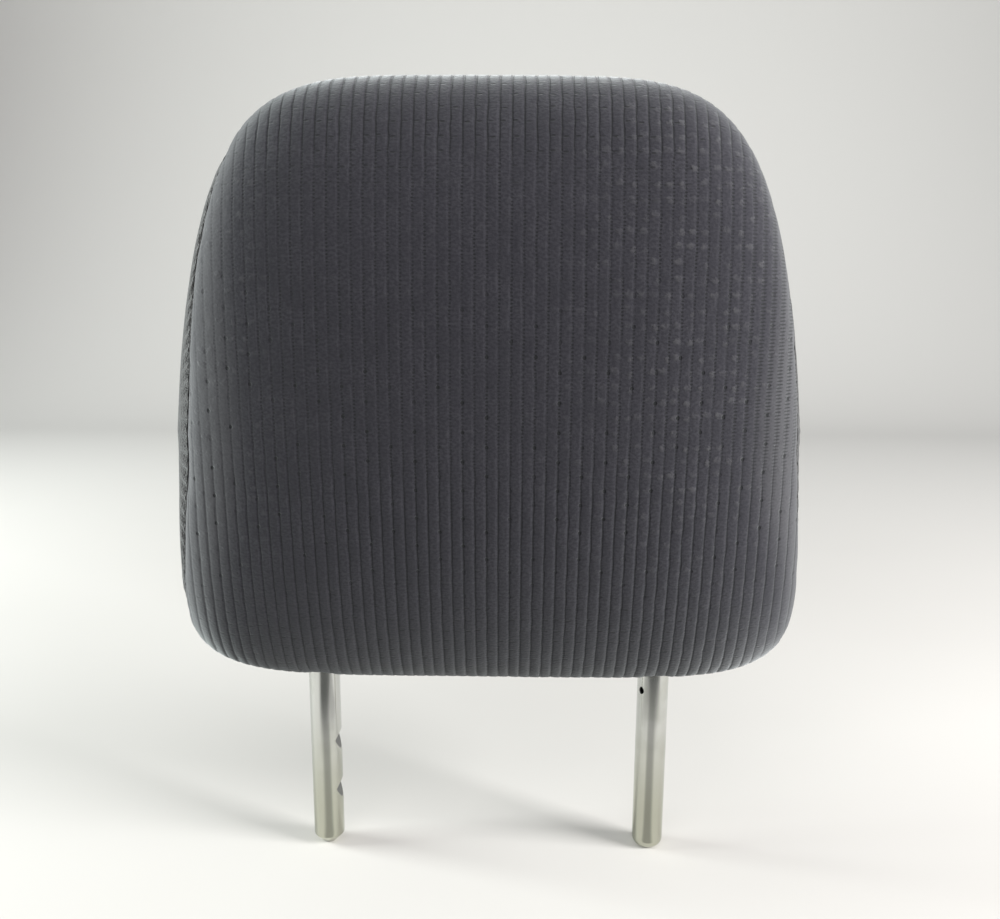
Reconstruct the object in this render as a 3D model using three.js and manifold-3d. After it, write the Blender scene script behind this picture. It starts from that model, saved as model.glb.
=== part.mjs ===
// A car headrest: a ribbed knit cushion on two plated steel posts.
// Units are millimetres and +Z is up. Both posts stand in the plane y = 0, the cushion's front
// faces -Y, and the origin lies midway between the posts, level with their tips.
import * as THREE from 'three';
import { mergeVertices } from 'three/addons/utils/BufferGeometryUtils.js';
import Module from 'manifold-3d';

const wasm = await Module();
wasm.setup();

// Tube frame: one tube bent into a U, whose two ends are the posts
const POST_SPACING = 150;
const POST_RADIUS = 7;
const TUBE_WALL = 2.8;
const FRAME_TOP = 290;
const FRAME_BEND_RADIUS = 30;
const TUBE_SIDES = 24;
const BEND_STEPS = 6;

// Left tip is a blunt cone, right tip is rounded with a small centre dimple
const CONE_TIP_FLAT_RADIUS = 2.8;
const CONE_TIP_LENGTH = 4.5;
const ROUND_TIP_RADIUS = 4.3;
const ROUND_TIP_STEPS = 4;
const DIMPLE_RADIUS = 0.8;
const DIMPLE_DEPTH = 0.6;
const TIP_WALL = 6;

// Two locking notches on the inner side of the left post
const NOTCH_HEIGHTS = [28.5, 53];
const NOTCH_DEPTH = 2.2;
const NOTCH_UPPER_FLANK = 4;
const NOTCH_LOWER_FLANK = 6.5;

// Vent hole just below the cushion, in the right post
const VENT_HEIGHT = 79.5;
const VENT_RADIUS = 1.4;
const VENT_TURN = THREE.MathUtils.degToRad(54);
const VENT_SIDES = 12;

// Support wire: a closed loop welded across the front of both posts
const WIRE_RADIUS = 3;
const WIRE_HALF_WIDTH = 100;
const WIRE_BOTTOM = 132;
const WIRE_TOP = 228;
const WIRE_BEND_RADIUS = 20;
const WIRE_SIDES = 10;

// Cushion: its widest level, how far it reaches from there, and its half-width
const CUSHION_MIDDLE = 200;
const CUSHION_ABOVE = 141;
const CUSHION_BELOW = 114.7;
const CUSHION_FRONT = 43;
const CUSHION_BACK = 46;
const CUSHION_HALF_WIDTH = 130.8;
const TOP_NARROWING = 24.5;
const TOP_NARROWING_POWER = 1.1;
const BOTTOM_WIDENING = 13.1;
const FORWARD_LEAN = 0.06;

// Superellipse powers: 2 is round, and a higher power is squarer
const SECTION_POWER_ABOVE = 2.8;
const SECTION_POWER_BELOW = 2.6;
const CORNER_POWER_FRONT = 3.3;
const CORNER_POWER_TOP = 5.08;
const CORNER_POWER_BOTTOM = 5.75;

// Cover: a foam-backed knit, sewn from a ribbed centre panel and two side panels
const COVER_THICKNESS = 3;
const RIB_PITCH = 4.6;
const GROOVE_WIDTH = 1;
const GROOVE_DEPTH = 0.6;
const SEAM_DIP = 1.2;
const LEFT_SEAM = { halfDepth: 24.5, above: 118, below: 88 };
const RIGHT_SEAM = { halfDepth: 17, above: 112, below: 84 };
const HEM_GAP = 1.8;

// Closing strips: two hooked plastic profiles inside the hems, between the posts
const STRIP_HALF_LENGTH = 58;
const STRIP_THICKNESS = 1.2;
const STRIP_WEB = 6.5;
const STRIP_LIP_HEIGHT = 5;
const STRIP_LIP_GAP = 1.8;

// Fits: pieces that touch, and the room that a moulded or cut recess leaves
const SEAT_GAP = 0.3;
const CHANNEL_ROOM = 0.5;
const POST_EXIT_ROOM = 0.3;

// Fineness of the soft surfaces
const ROWS_PER_TURN = 24;
const CENTRE_COLUMNS = 12;
const SIDE_COLUMNS = 5;
const SAME_PLACE = 1e-6;

const halfSpacing = POST_SPACING / 2;
const foamInset = COVER_THICKNESS + SEAT_GAP;

// Facets are gathered one by one, and those that have shrunk to a line are left out.
class Facets {
  constructor() {
    this.positions = [];
  }

  triangle(a, b, c) {
    const collapsed = [[a, b], [b, c], [c, a]].some(([p, q]) => p.distanceTo(q) < SAME_PLACE);
    if (!collapsed) this.positions.push(...a, ...b, ...c);
  }

  quad(a, b, c, d) {
    this.triangle(a, b, c);
    this.triangle(a, c, d);
  }

  // Neighbouring rows of points become a strip of quads each. An inside face is turned round
  // but split along the same diagonals, so that nested surfaces stay clear of each other.
  grid(rows, isInside = false) {
    for (let j = 0; j + 1 < rows.length; j++) {
      for (let i = 0; i + 1 < rows[j].length; i++) {
        const beside = [rows[j + 1][i], rows[j][i + 1]];
        if (isInside) beside.reverse();
        this.quad(rows[j][i], beside[0], rows[j + 1][i + 1], beside[1]);
      }
    }
  }

  // Two lines of points that run the same way along x, with different counts, are joined.
  zip(lower, upper) {
    let i = 0;
    let j = 0;
    while (i + 1 < lower.length || j + 1 < upper.length) {
      const upperIsDone = j + 1 === upper.length;
      const lowerIsNext = i + 1 < lower.length && (upperIsDone || lower[i + 1].x < upper[j + 1].x);
      if (lowerIsNext) {
        this.triangle(lower[i], upper[j], lower[i + 1]);
        i += 1;
      } else {
        this.triangle(lower[i], upper[j], upper[j + 1]);
        j += 1;
      }
    }
  }

  geometry() {
    const loose = new THREE.BufferGeometry();
    loose.setAttribute('position', new THREE.Float32BufferAttribute(this.positions, 3));
    return mergeVertices(loose);
  }
}

function toSolid(geometry) {
  const bare = geometry.clone();
  bare.deleteAttribute('normal');
  bare.deleteAttribute('uv');
  const merged = mergeVertices(bare);
  const vertProperties = new Float32Array(merged.attributes.position.array);
  const triVerts = new Uint32Array(merged.index.array);
  return new wasm.Manifold(new wasm.Mesh({ numProp: 3, vertProperties, triVerts }));
}

function toGeometry(solid) {
  const mesh = solid.getMesh();
  const geometry = new THREE.BufferGeometry();
  geometry.setAttribute('position', new THREE.BufferAttribute(mesh.vertProperties, 3));
  geometry.setIndex(new THREE.BufferAttribute(mesh.triVerts, 1));
  return geometry;
}

// A round bar through stations that lie in a plane y = constant. Each station has a centre,
// a direction and a radius, and a radius of 0 closes an end.
function roundBar(stations, sides, isLoop = false) {
  const across = new THREE.Vector3(0, 1, 0);
  const rings = stations.map(({ centre, direction, radius }) => {
    const outward = new THREE.Vector3().crossVectors(direction, across);
    return Array.from({ length: sides + 1 }, (_, i) => {
      const turn = (2 * Math.PI * (i % sides)) / sides;
      return centre.clone()
        .addScaledVector(outward, radius * Math.cos(turn))
        .addScaledVector(across, radius * Math.sin(turn));
    });
  });
  if (isLoop) rings.push(rings[0]);
  const facets = new Facets();
  facets.grid(rings);
  return facets.geometry();
}

// Stations of a round bend in a plane y = constant, from one angle to another.
function bendStations(centreX, centreY, centreZ, bendRadius, fromTurn, toTurn, radius) {
  return Array.from({ length: BEND_STEPS + 1 }, (_, step) => {
    const turn = THREE.MathUtils.lerp(fromTurn, toTurn, step / BEND_STEPS);
    const outward = new THREE.Vector3(Math.cos(turn), 0, Math.sin(turn));
    const direction = new THREE.Vector3(Math.sin(turn), 0, -Math.cos(turn));
    const centre = new THREE.Vector3(centreX, centreY, centreZ).addScaledVector(outward, bendRadius);
    return { centre, direction, radius };
  });
}

// The U of the frame: up the left post, across the top and down the right post. Each end is a
// list of steps { height, radius }, from the lowest to the highest.
function frameBar(radius, leftEnd, rightEnd) {
  const up = new THREE.Vector3(0, 0, 1);
  const down = new THREE.Vector3(0, 0, -1);
  const bendX = halfSpacing - FRAME_BEND_RADIUS;
  const bendZ = FRAME_TOP - FRAME_BEND_RADIUS;
  const leftPost = leftEnd.map((step) => (
    { centre: new THREE.Vector3(-halfSpacing, 0, step.height), direction: up, radius: step.radius }));
  const rightPost = rightEnd.map((step) => (
    { centre: new THREE.Vector3(halfSpacing, 0, step.height), direction: down, radius: step.radius }));
  return roundBar([
    ...leftPost,
    ...bendStations(-bendX, 0, bendZ, FRAME_BEND_RADIUS, Math.PI, Math.PI / 2, radius),
    ...bendStations(bendX, 0, bendZ, FRAME_BEND_RADIUS, Math.PI / 2, 0, radius),
    ...rightPost.reverse(),
  ], TUBE_SIDES);
}

function blindEnd(height, radius) {
  return [{ height, radius: 0 }, { height, radius }];
}

function notchCutter(height) {
  const overshoot = 1.5;
  const surface = -halfSpacing + POST_RADIUS;
  const apex = surface - NOTCH_DEPTH;
  const outer = apex + overshoot * NOTCH_DEPTH;
  const outline = new THREE.Shape([
    new THREE.Vector2(apex, height),
    new THREE.Vector2(outer, height - overshoot * NOTCH_LOWER_FLANK),
    new THREE.Vector2(outer, height + overshoot * NOTCH_UPPER_FLANK),
  ]);
  const cutter = new THREE.ExtrudeGeometry(outline, { depth: 3 * POST_RADIUS, bevelEnabled: false });
  cutter.rotateX(Math.PI / 2);
  cutter.translate(0, 1.5 * POST_RADIUS, 0);
  return cutter;
}

function ventCutter() {
  const outward = new THREE.Vector3(-Math.sin(VENT_TURN), -Math.cos(VENT_TURN), 0);
  const length = 1.5 * POST_RADIUS;
  const cutter = new THREE.CylinderGeometry(VENT_RADIUS, VENT_RADIUS, length, VENT_SIDES);
  cutter.applyQuaternion(new THREE.Quaternion().setFromUnitVectors(new THREE.Vector3(0, 1, 0), outward));
  cutter.translate(halfSpacing, 0, VENT_HEIGHT);
  cutter.translate(...outward.multiplyScalar(length / 2));
  return cutter;
}

function postFrame() {
  const coneTip = [
    { height: 0, radius: 0 },
    { height: 0, radius: CONE_TIP_FLAT_RADIUS },
    { height: CONE_TIP_LENGTH, radius: POST_RADIUS },
  ];
  const roundTip = [
    { height: DIMPLE_DEPTH, radius: 0 },
    { height: 0, radius: DIMPLE_RADIUS },
  ];
  for (let step = 0; step <= ROUND_TIP_STEPS; step++) {
    const turn = (Math.PI / 2) * (step / ROUND_TIP_STEPS);
    const height = ROUND_TIP_RADIUS * (1 - Math.cos(turn));
    const radius = POST_RADIUS - ROUND_TIP_RADIUS * (1 - Math.sin(turn));
    roundTip.push({ height, radius });
  }
  const bore = POST_RADIUS - TUBE_WALL;
  const boreEnd = blindEnd(TIP_WALL, bore);
  let solid = toSolid(frameBar(POST_RADIUS, coneTip, roundTip));
  solid = solid.subtract(toSolid(frameBar(bore, boreEnd, boreEnd)));
  for (const height of NOTCH_HEIGHTS) solid = solid.subtract(toSolid(notchCutter(height)));
  return toGeometry(solid.subtract(toSolid(ventCutter())));
}

// The support wire lies against the front of the posts and crosses both of them twice.
function wireLoop(radius) {
  const x = WIRE_HALF_WIDTH - WIRE_BEND_RADIUS;
  const y = -(POST_RADIUS + SEAT_GAP + WIRE_RADIUS);
  const low = WIRE_BOTTOM + WIRE_BEND_RADIUS;
  const high = WIRE_TOP - WIRE_BEND_RADIUS;
  const corners = [[-x, high], [x, high], [x, low], [-x, low]];
  const stations = corners.flatMap(([centreX, centreZ], index) => {
    const fromTurn = Math.PI - index * (Math.PI / 2);
    return bendStations(centreX, y, centreZ, WIRE_BEND_RADIUS, fromTurn, fromTurn - Math.PI / 2, radius);
  });
  return roundBar(stations, WIRE_SIDES, true);
}

// The cushion's section by the plane x = 0, at a turn that runs from the top (0) over the front
// (a quarter) to the underside (a half) and the back. Each quarter is part of a superellipse.
function sectionAt(turn, inset) {
  const isAbove = Math.cos(turn) > 0;
  const isFront = Math.sin(turn) > 0;
  const power = 2 / (isAbove ? SECTION_POWER_ABOVE : SECTION_POWER_BELOW);
  const upShare = Math.sign(Math.cos(turn)) * Math.abs(Math.cos(turn)) ** power;
  const forwardShare = Math.sign(Math.sin(turn)) * Math.abs(Math.sin(turn)) ** power;
  const cornerPower = isAbove ? CORNER_POWER_TOP : CORNER_POWER_BOTTOM;
  return {
    up: upShare * ((isAbove ? CUSHION_ABOVE : CUSHION_BELOW) - inset),
    forward: forwardShare * ((isFront ? CUSHION_FRONT : CUSHION_BACK) - inset),
    halfWidth: CUSHION_HALF_WIDTH - inset,
    sectionPower: isAbove ? SECTION_POWER_ABOVE : SECTION_POWER_BELOW,
    power: THREE.MathUtils.lerp(CORNER_POWER_FRONT, cornerPower, upShare ** 2),
  };
}

// How much wider or narrower than at its middle the cushion is at a height.
function widthFactor(z) {
  const rise = z - CUSHION_MIDDLE;
  if (rise > 0) {
    const loss = (rise / CUSHION_ABOVE) ** TOP_NARROWING_POWER;
    return 1 - (TOP_NARROWING / CUSHION_HALF_WIDTH) * loss;
  }
  return 1 + (BOTTOM_WIDENING / CUSHION_HALF_WIDTH) * (rise / CUSHION_BELOW) ** 2;
}

// The point of a section that lies a share of the way from the middle plane to a side, where
// a share of -1 is the left side's outermost point and 1 is the right side's.
function pointAt(section, share) {
  const reach = (1 - Math.abs(share) ** section.power) ** (1 / section.power);
  const z = CUSHION_MIDDLE + reach * section.up;
  const y = -reach * section.forward - FORWARD_LEAN * (z - CUSHION_MIDDLE);
  return new THREE.Vector3(share * section.halfWidth * widthFactor(z), y, z);
}

// The share at which a section reaches a given x: the width is updated until it settles.
function shareAtX(section, x) {
  const rounds = 14;
  let share = 0;
  for (let round = 0; round < rounds; round++) {
    const width = section.halfWidth * widthFactor(pointAt(section, share).z);
    share = THREE.MathUtils.clamp(x / width, -1, 1);
  }
  return share;
}

// The share at which two panels meet. Seen from the side, their seam is a superellipse like the
// section itself, with its own half-depth and its own heights above and below the middle.
function seamShare(turn, seam) {
  const { up, forward, sectionPower, power } = sectionAt(turn, 0);
  const height = up > 0 ? seam.above : seam.below;
  const sum = (Math.abs(up) / height) ** sectionPower + (Math.abs(forward) / seam.halfDepth) ** sectionPower;
  const reach = sum ** (-1 / sectionPower);
  return (1 - reach ** power) ** (1 / power);
}

// The turn of the underside's point that lies at a given y.
function undersideTurn(y) {
  const forward = FORWARD_LEAN * CUSHION_BELOW - y;
  const depth = forward > 0 ? CUSHION_FRONT : CUSHION_BACK;
  const sine = (Math.abs(forward) / depth) ** (SECTION_POWER_BELOW / 2);
  return Math.PI - Math.sign(forward) * Math.asin(sine);
}

// The turns of the soft surfaces' rows: from the back hem up the back, over the top, down the
// front and round to the front hem.
function rowTurns() {
  const step = (2 * Math.PI) / ROWS_PER_TURN;
  const first = undersideTurn(HEM_GAP / 2);
  const last = undersideTurn(-HEM_GAP / 2) + 2 * Math.PI;
  const turns = [first];
  for (let count = Math.ceil(first / step); count * step < last; count++) turns.push(count * step);
  turns.push(last);
  return turns;
}

const turns = rowTurns();

// The shares of a side's columns, between the seam and the outermost point, from left to right.
function sideShares(section, seamAt, side) {
  const start = (1 - seamAt ** section.power) ** (1 / section.power);
  const shares = Array.from({ length: SIDE_COLUMNS + 1 }, (_, column) => {
    const reach = start * (1 - column / SIDE_COLUMNS);
    return side * (1 - reach ** section.power) ** (1 / section.power);
  });
  return side < 0 ? shares.reverse() : shares;
}

function centreShares(leftSeam, rightSeam) {
  return Array.from({ length: CENTRE_COLUMNS + 1 }, (_, column) => (
    THREE.MathUtils.lerp(-leftSeam, rightSeam, column / CENTRE_COLUMNS)));
}

// Rib columns: two crown edges and the groove's bottom between them, once in each pitch.
function ribColumns() {
  const count = Math.ceil((CUSHION_HALF_WIDTH + BOTTOM_WIDENING) / RIB_PITCH);
  const columns = [];
  for (let rib = -count; rib <= count; rib++) {
    const x = rib * RIB_PITCH;
    columns.push({ x: x - GROOVE_WIDTH / 2, depth: 0 });
    columns.push({ x, depth: GROOVE_DEPTH });
    columns.push({ x: x + GROOVE_WIDTH / 2, depth: 0 });
  }
  return columns;
}

// The ribbed outer line of the centre panel at one row, cut off at both seams.
function ribbedRow(turn, columns, leftSeam, rightSeam) {
  const edgeSection = sectionAt(turn, SEAM_DIP);
  const leftEdge = pointAt(edgeSection, -leftSeam);
  const rightEdge = pointAt(edgeSection, rightSeam);
  return columns.map(({ x, depth }) => {
    if (x <= leftEdge.x) return leftEdge;
    if (x >= rightEdge.x) return rightEdge;
    const section = sectionAt(turn, depth);
    return pointAt(section, shareAtX(section, x));
  });
}

// Half of the gap that the cover's seams leave between two panels, as a share.
const halfSeamGap = SEAT_GAP / 2 / CUSHION_HALF_WIDTH;

function centrePanel() {
  const columns = ribColumns();
  const outer = [];
  const inner = [];
  for (const turn of turns) {
    const section = sectionAt(turn, COVER_THICKNESS);
    const leftSeam = seamShare(turn, LEFT_SEAM) - halfSeamGap;
    const rightSeam = seamShare(turn, RIGHT_SEAM) - halfSeamGap;
    outer.push(ribbedRow(turn, columns, leftSeam, rightSeam));
    inner.push(centreShares(leftSeam, rightSeam).map((share) => pointAt(section, share)));
  }
  const facets = new Facets();
  facets.grid(outer);
  facets.grid(inner, true);
  facets.grid(outer.map((row, j) => [inner[j][0], row[0]]));
  facets.grid(outer.map((row, j) => [row.at(-1), inner[j].at(-1)]));
  facets.zip(inner[0], outer[0]);
  facets.zip(outer.at(-1), inner.at(-1));
  let solid = toSolid(facets.geometry());
  for (const side of [-1, 1]) solid = solid.subtract(toSolid(postExit(side)));
  return toGeometry(solid);
}

// A post leaves the cover through a round cut-out that both hems share.
function postExit(side) {
  const radius = POST_RADIUS + POST_EXIT_ROOM;
  const cutter = new THREE.CylinderGeometry(radius, radius, CUSHION_BELOW, TUBE_SIDES);
  cutter.rotateX(Math.PI / 2);
  cutter.translate(side * halfSpacing, 0, CUSHION_MIDDLE - CUSHION_BELOW);
  return cutter;
}

function sidePanel(side, seam) {
  const seamColumn = side < 0 ? SIDE_COLUMNS : 0;
  const outer = [];
  const inner = [];
  for (const turn of [...turns, turns[0]]) {
    const section = sectionAt(turn, COVER_THICKNESS);
    const shares = sideShares(section, seamShare(turn, seam) + halfSeamGap, side);
    const dips = shares.map((_, column) => (column === seamColumn ? SEAM_DIP : 0));
    outer.push(shares.map((share, column) => pointAt(sectionAt(turn, dips[column]), share)));
    inner.push(shares.map((share) => pointAt(section, share)));
  }
  const seamWall = outer.map((row, j) => [inner[j][seamColumn], row[seamColumn]]);
  const facets = new Facets();
  facets.grid(outer);
  facets.grid(inner, true);
  facets.grid(seamWall, side < 0);
  return facets.geometry();
}

// The foam fills the cover, and the frame, the wire and the closing strips lie in recesses.
function foamCore() {
  const rows = [...turns, turns[0]].map((turn) => {
    const section = sectionAt(turn, foamInset);
    const leftSeam = seamShare(turn, LEFT_SEAM);
    const rightSeam = seamShare(turn, RIGHT_SEAM);
    const shares = [
      ...sideShares(section, leftSeam, -1),
      ...centreShares(leftSeam, rightSeam).slice(1, -1),
      ...sideShares(section, rightSeam, 1),
    ];
    return shares.map((share) => pointAt(section, share));
  });
  const facets = new Facets();
  facets.grid(rows);
  const recess = POST_RADIUS + SEAT_GAP;
  const recessEnd = blindEnd(0, recess);
  return toGeometry(toSolid(facets.geometry())
    .subtract(toSolid(frameBar(recess, recessEnd, recessEnd)))
    .subtract(toSolid(wireLoop(WIRE_RADIUS + SEAT_GAP)))
    .subtract(toSolid(stripChannel())));
}

// Points of the strips' profile that lie just above the cover's inner face, at the strips' ends.
function hemPoint(turn) {
  const section = sectionAt(turn, COVER_THICKNESS);
  const point = pointAt(section, shareAtX(section, STRIP_HALF_LENGTH));
  return new THREE.Vector2(point.y, point.z + SEAT_GAP);
}

function stripSeats() {
  const frontHem = hemPoint(turns.at(-1));
  const rearHem = hemPoint(turns[1]);
  const along = (from, towards) => towards.clone().sub(from).setLength(STRIP_WEB).add(from);
  return {
    frontHem,
    rearHem,
    frontEdge: along(frontHem, hemPoint(turns.at(-2))),
    rearEdge: along(rearHem, hemPoint(turns[2])),
  };
}

// The front strip's upturned lip stands behind the slot, and the rear strip hooks over it.
function frontStripOutline() {
  const { frontHem, frontEdge } = stripSeats();
  const lipFace = HEM_GAP;
  const lipBack = lipFace + STRIP_THICKNESS;
  const floor = frontHem.y;
  return [
    [frontEdge.x, frontEdge.y],
    [frontHem.x, floor],
    [lipBack, floor],
    [lipBack, floor + STRIP_LIP_HEIGHT],
    [lipFace, floor + STRIP_LIP_HEIGHT],
    [lipFace, floor + STRIP_THICKNESS],
    [frontHem.x, floor + STRIP_THICKNESS],
    [frontEdge.x, frontEdge.y + STRIP_THICKNESS],
  ];
}

function rearStripOutline() {
  const { frontHem, rearHem, rearEdge } = stripSeats();
  const hookBack = HEM_GAP - STRIP_LIP_GAP;
  const hookFront = hookBack - STRIP_THICKNESS;
  const hookFoot = frontHem.y + STRIP_THICKNESS + SEAT_GAP;
  const roof = frontHem.y + STRIP_LIP_HEIGHT + SEAT_GAP;
  const riser = rearHem.x + STRIP_THICKNESS;
  return [
    [rearHem.x, rearHem.y],
    [rearEdge.x, rearEdge.y],
    [rearEdge.x, rearEdge.y + STRIP_THICKNESS],
    [riser, rearHem.y + STRIP_THICKNESS],
    [riser, roof + STRIP_THICKNESS],
    [hookFront, roof + STRIP_THICKNESS],
    [hookFront, hookFoot],
    [hookBack, hookFoot],
    [hookBack, roof],
    [rearHem.x, roof],
  ];
}

// A profile drawn in the plane of y and z runs along x, centred on x = 0.
function alongX(outline, halfLength) {
  const shape = new THREE.Shape(outline.map(([y, z]) => new THREE.Vector2(y, z)));
  const bar = new THREE.ExtrudeGeometry(shape, { depth: 2 * halfLength, bevelEnabled: false });
  bar.rotateY(Math.PI / 2);
  bar.rotateX(Math.PI / 2);
  bar.translate(-halfLength, 0, 0);
  return bar;
}

function stripChannel() {
  const { frontHem, frontEdge, rearEdge } = stripSeats();
  const front = frontEdge.x - CHANNEL_ROOM;
  const back = rearEdge.x + CHANNEL_ROOM;
  const roof = frontHem.y + STRIP_LIP_HEIGHT + SEAT_GAP + STRIP_THICKNESS + CHANNEL_ROOM;
  const floor = CUSHION_MIDDLE - CUSHION_BELOW;
  return alongX([[front, floor], [back, floor], [back, roof], [front, roof]], STRIP_HALF_LENGTH + CHANNEL_ROOM);
}

const knit = { color: 0x4a494d, roughness: 0.95, metalness: 0 };
const plating = { color: 0xc9cac4, roughness: 0.25, metalness: 1 };
const bareSteel = { color: 0x77787a, roughness: 0.5, metalness: 0.9 };
const foam = { color: 0xd9cfa6, roughness: 0.95, metalness: 0 };
const plastic = { color: 0x1d1d1f, roughness: 0.6, metalness: 0 };

const headrest = new THREE.Group();

function addPiece(name, geometry, look) {
  geometry.computeVertexNormals();
  const mesh = new THREE.Mesh(geometry, new THREE.MeshStandardMaterial(look));
  mesh.name = name;
  headrest.add(mesh);
}

addPiece('post_frame', postFrame(), plating);
addPiece('support_wire', wireLoop(WIRE_RADIUS), bareSteel);
addPiece('foam_core', foamCore(), foam);
addPiece('cover_centre_panel', centrePanel(), knit);
addPiece('cover_left_side_panel', sidePanel(-1, LEFT_SEAM), knit);
addPiece('cover_right_side_panel', sidePanel(1, RIGHT_SEAM), knit);
addPiece('front_closing_strip', alongX(frontStripOutline(), STRIP_HALF_LENGTH), plastic);
addPiece('rear_closing_strip', alongX(rearStripOutline(), STRIP_HALF_LENGTH), plastic);

export default headrest;
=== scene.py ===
# %% [markdown]
# # A car headrest
# A padded cushion in dark grey ribbed knit stands on the two bright ends of one bent steel tube.
# The construction model gives every piece its place and size, and this lesson gives the pieces
# their surfaces. The first cell loads that model, whose nodes stay where they are.

import math

import bmesh
import bpy
import numpy as np
from mathutils import Matrix, Vector


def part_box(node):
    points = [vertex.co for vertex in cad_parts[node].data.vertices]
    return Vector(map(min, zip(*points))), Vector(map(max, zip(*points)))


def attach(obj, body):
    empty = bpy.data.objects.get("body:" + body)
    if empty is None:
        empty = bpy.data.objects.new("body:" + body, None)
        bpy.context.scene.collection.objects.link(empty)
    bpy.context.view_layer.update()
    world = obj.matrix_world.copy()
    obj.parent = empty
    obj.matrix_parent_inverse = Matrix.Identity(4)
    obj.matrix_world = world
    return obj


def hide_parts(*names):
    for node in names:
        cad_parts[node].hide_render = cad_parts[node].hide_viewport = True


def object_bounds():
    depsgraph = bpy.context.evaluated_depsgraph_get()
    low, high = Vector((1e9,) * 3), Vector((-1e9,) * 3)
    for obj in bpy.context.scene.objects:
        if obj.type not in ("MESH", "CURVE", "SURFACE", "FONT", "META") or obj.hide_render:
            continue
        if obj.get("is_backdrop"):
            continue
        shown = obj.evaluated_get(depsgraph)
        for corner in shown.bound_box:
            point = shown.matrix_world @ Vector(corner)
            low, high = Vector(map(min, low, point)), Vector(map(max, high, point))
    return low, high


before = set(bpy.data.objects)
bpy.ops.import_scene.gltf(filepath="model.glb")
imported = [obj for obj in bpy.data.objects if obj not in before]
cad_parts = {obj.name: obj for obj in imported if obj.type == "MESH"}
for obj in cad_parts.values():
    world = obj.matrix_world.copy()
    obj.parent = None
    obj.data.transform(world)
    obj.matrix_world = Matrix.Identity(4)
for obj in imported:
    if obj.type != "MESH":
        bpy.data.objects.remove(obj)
cad_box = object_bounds()
MM = 0.001
print("pieces in the frame:", ", ".join(sorted(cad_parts)))

# %% [markdown]
# ## Surfaces from arrays
# Every new piece here is a surface: a grid of points that numpy works out as whole arrays, with
# rows one way and columns the other. Doing it this way keeps the shape in a formula instead of
# in a hand-pushed mesh, so a size can be changed later. A few helpers turn such grids into faces.

# %% Grids of points and faces
DOUBLES_WITHIN = 1e-6


def grid_faces(rows, columns, start=0, inside=False):
    """Quads between neighbouring rows and columns of a grid whose first point has index start.
    They face along (row direction) x (column direction), or the other way if inside is true."""
    index = start + np.arange(rows * columns).reshape(rows, columns)
    corners = [index[:-1, :-1], index[1:, :-1], index[1:, 1:], index[:-1, 1:]]
    if inside:
        corners.reverse()
    return np.stack(corners, axis=-1).reshape(-1, 4)


def zip_faces(lower, lower_at, upper, upper_at):
    """Triangles between two lines of point indices that run the same way, with different counts.
    Each triangle steps along the line whose next point comes first."""
    next_at = np.concatenate([lower_at[1:], upper_at[1:]])
    on_lower = np.concatenate([np.ones(len(lower) - 1, bool), np.zeros(len(upper) - 1, bool)])
    on_lower = on_lower[np.argsort(next_at, kind="stable")]
    i = np.cumsum(on_lower) - on_lower
    j = np.cumsum(~on_lower) - ~on_lower
    ahead = np.where(on_lower, lower[np.minimum(i + 1, len(lower) - 1)],
                     upper[np.minimum(j + 1, len(upper) - 1)])
    return np.stack([lower[i], upper[j], ahead], axis=-1)


def signed_volume(mesh):
    """The volume that a closed mesh holds, positive if its faces point outwards."""
    mesh.calc_loop_triangles()
    points = np.zeros(len(mesh.vertices) * 3)
    triangles = np.zeros(len(mesh.loop_triangles) * 3, np.int32)
    mesh.vertices.foreach_get("co", points)
    mesh.loop_triangles.foreach_get("vertices", triangles)
    a, b, c = points.reshape(-1, 3)[triangles.reshape(-1, 3)].transpose(1, 0, 2)
    return float(np.einsum("ij,ij->i", a, np.cross(b, c)).sum() / 6)


def finish_mesh(mesh, sharp_angle):
    """Merges doubled points, which also removes faces that have shrunk to a line, and shades the
    mesh smooth, apart from edges that turn by more than the sharp angle."""
    shape = bmesh.new()
    shape.from_mesh(mesh)
    bmesh.ops.remove_doubles(shape, verts=shape.verts, dist=DOUBLES_WITHIN)
    shape.to_mesh(mesh)
    shape.free()
    mesh.shade_smooth()
    mesh.set_sharp_from_angle(angle=math.radians(sharp_angle))


def new_piece(name, points, faces, material, weave=None, sharp_angle=50):
    """Makes an object at the origin from an array of points and a list of arrays of faces. The
    weave, one vector for each point, becomes an attribute that materials can read."""
    mesh = bpy.data.meshes.new(name)
    mesh.from_pydata(points.reshape(-1, 3), [], [face for part in faces for face in part.tolist()])
    if weave is not None:
        layer = mesh.attributes.new(WEAVE, "FLOAT_VECTOR", "POINT")
        layer.data.foreach_set("vector", weave.astype(np.float32).ravel())
    finish_mesh(mesh, sharp_angle)
    mesh.materials.append(material)
    piece = bpy.data.objects.new(name, mesh)
    bpy.context.scene.collection.objects.link(piece)
    triangles = sum(len(polygon.vertices) - 2 for polygon in mesh.polygons)
    print(f"{name}: {triangles} triangles, {signed_volume(mesh) * 1e6:.1f} cubic centimetres")
    return piece


def cut(piece, *cutters, sharp_angle=50):
    """Subtracts each cutter from a piece and deletes the cutter."""
    for cutter in cutters:
        step = piece.modifiers.new("cut", "BOOLEAN")
        step.operation = "DIFFERENCE"
        step.solver = "EXACT"
        step.object = cutter
    bpy.context.view_layer.update()
    done = piece.evaluated_get(bpy.context.evaluated_depsgraph_get())
    old = piece.data
    piece.data = bpy.data.meshes.new_from_object(done)
    piece.modifiers.clear()
    bpy.data.meshes.remove(old)
    for cutter in cutters:
        bpy.data.objects.remove(cutter)
    finish_mesh(piece.data, sharp_angle)
    print(f"{piece.name}: {signed_volume(piece.data) * 1e6:.1f} cubic centimetres after cutting")


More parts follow.
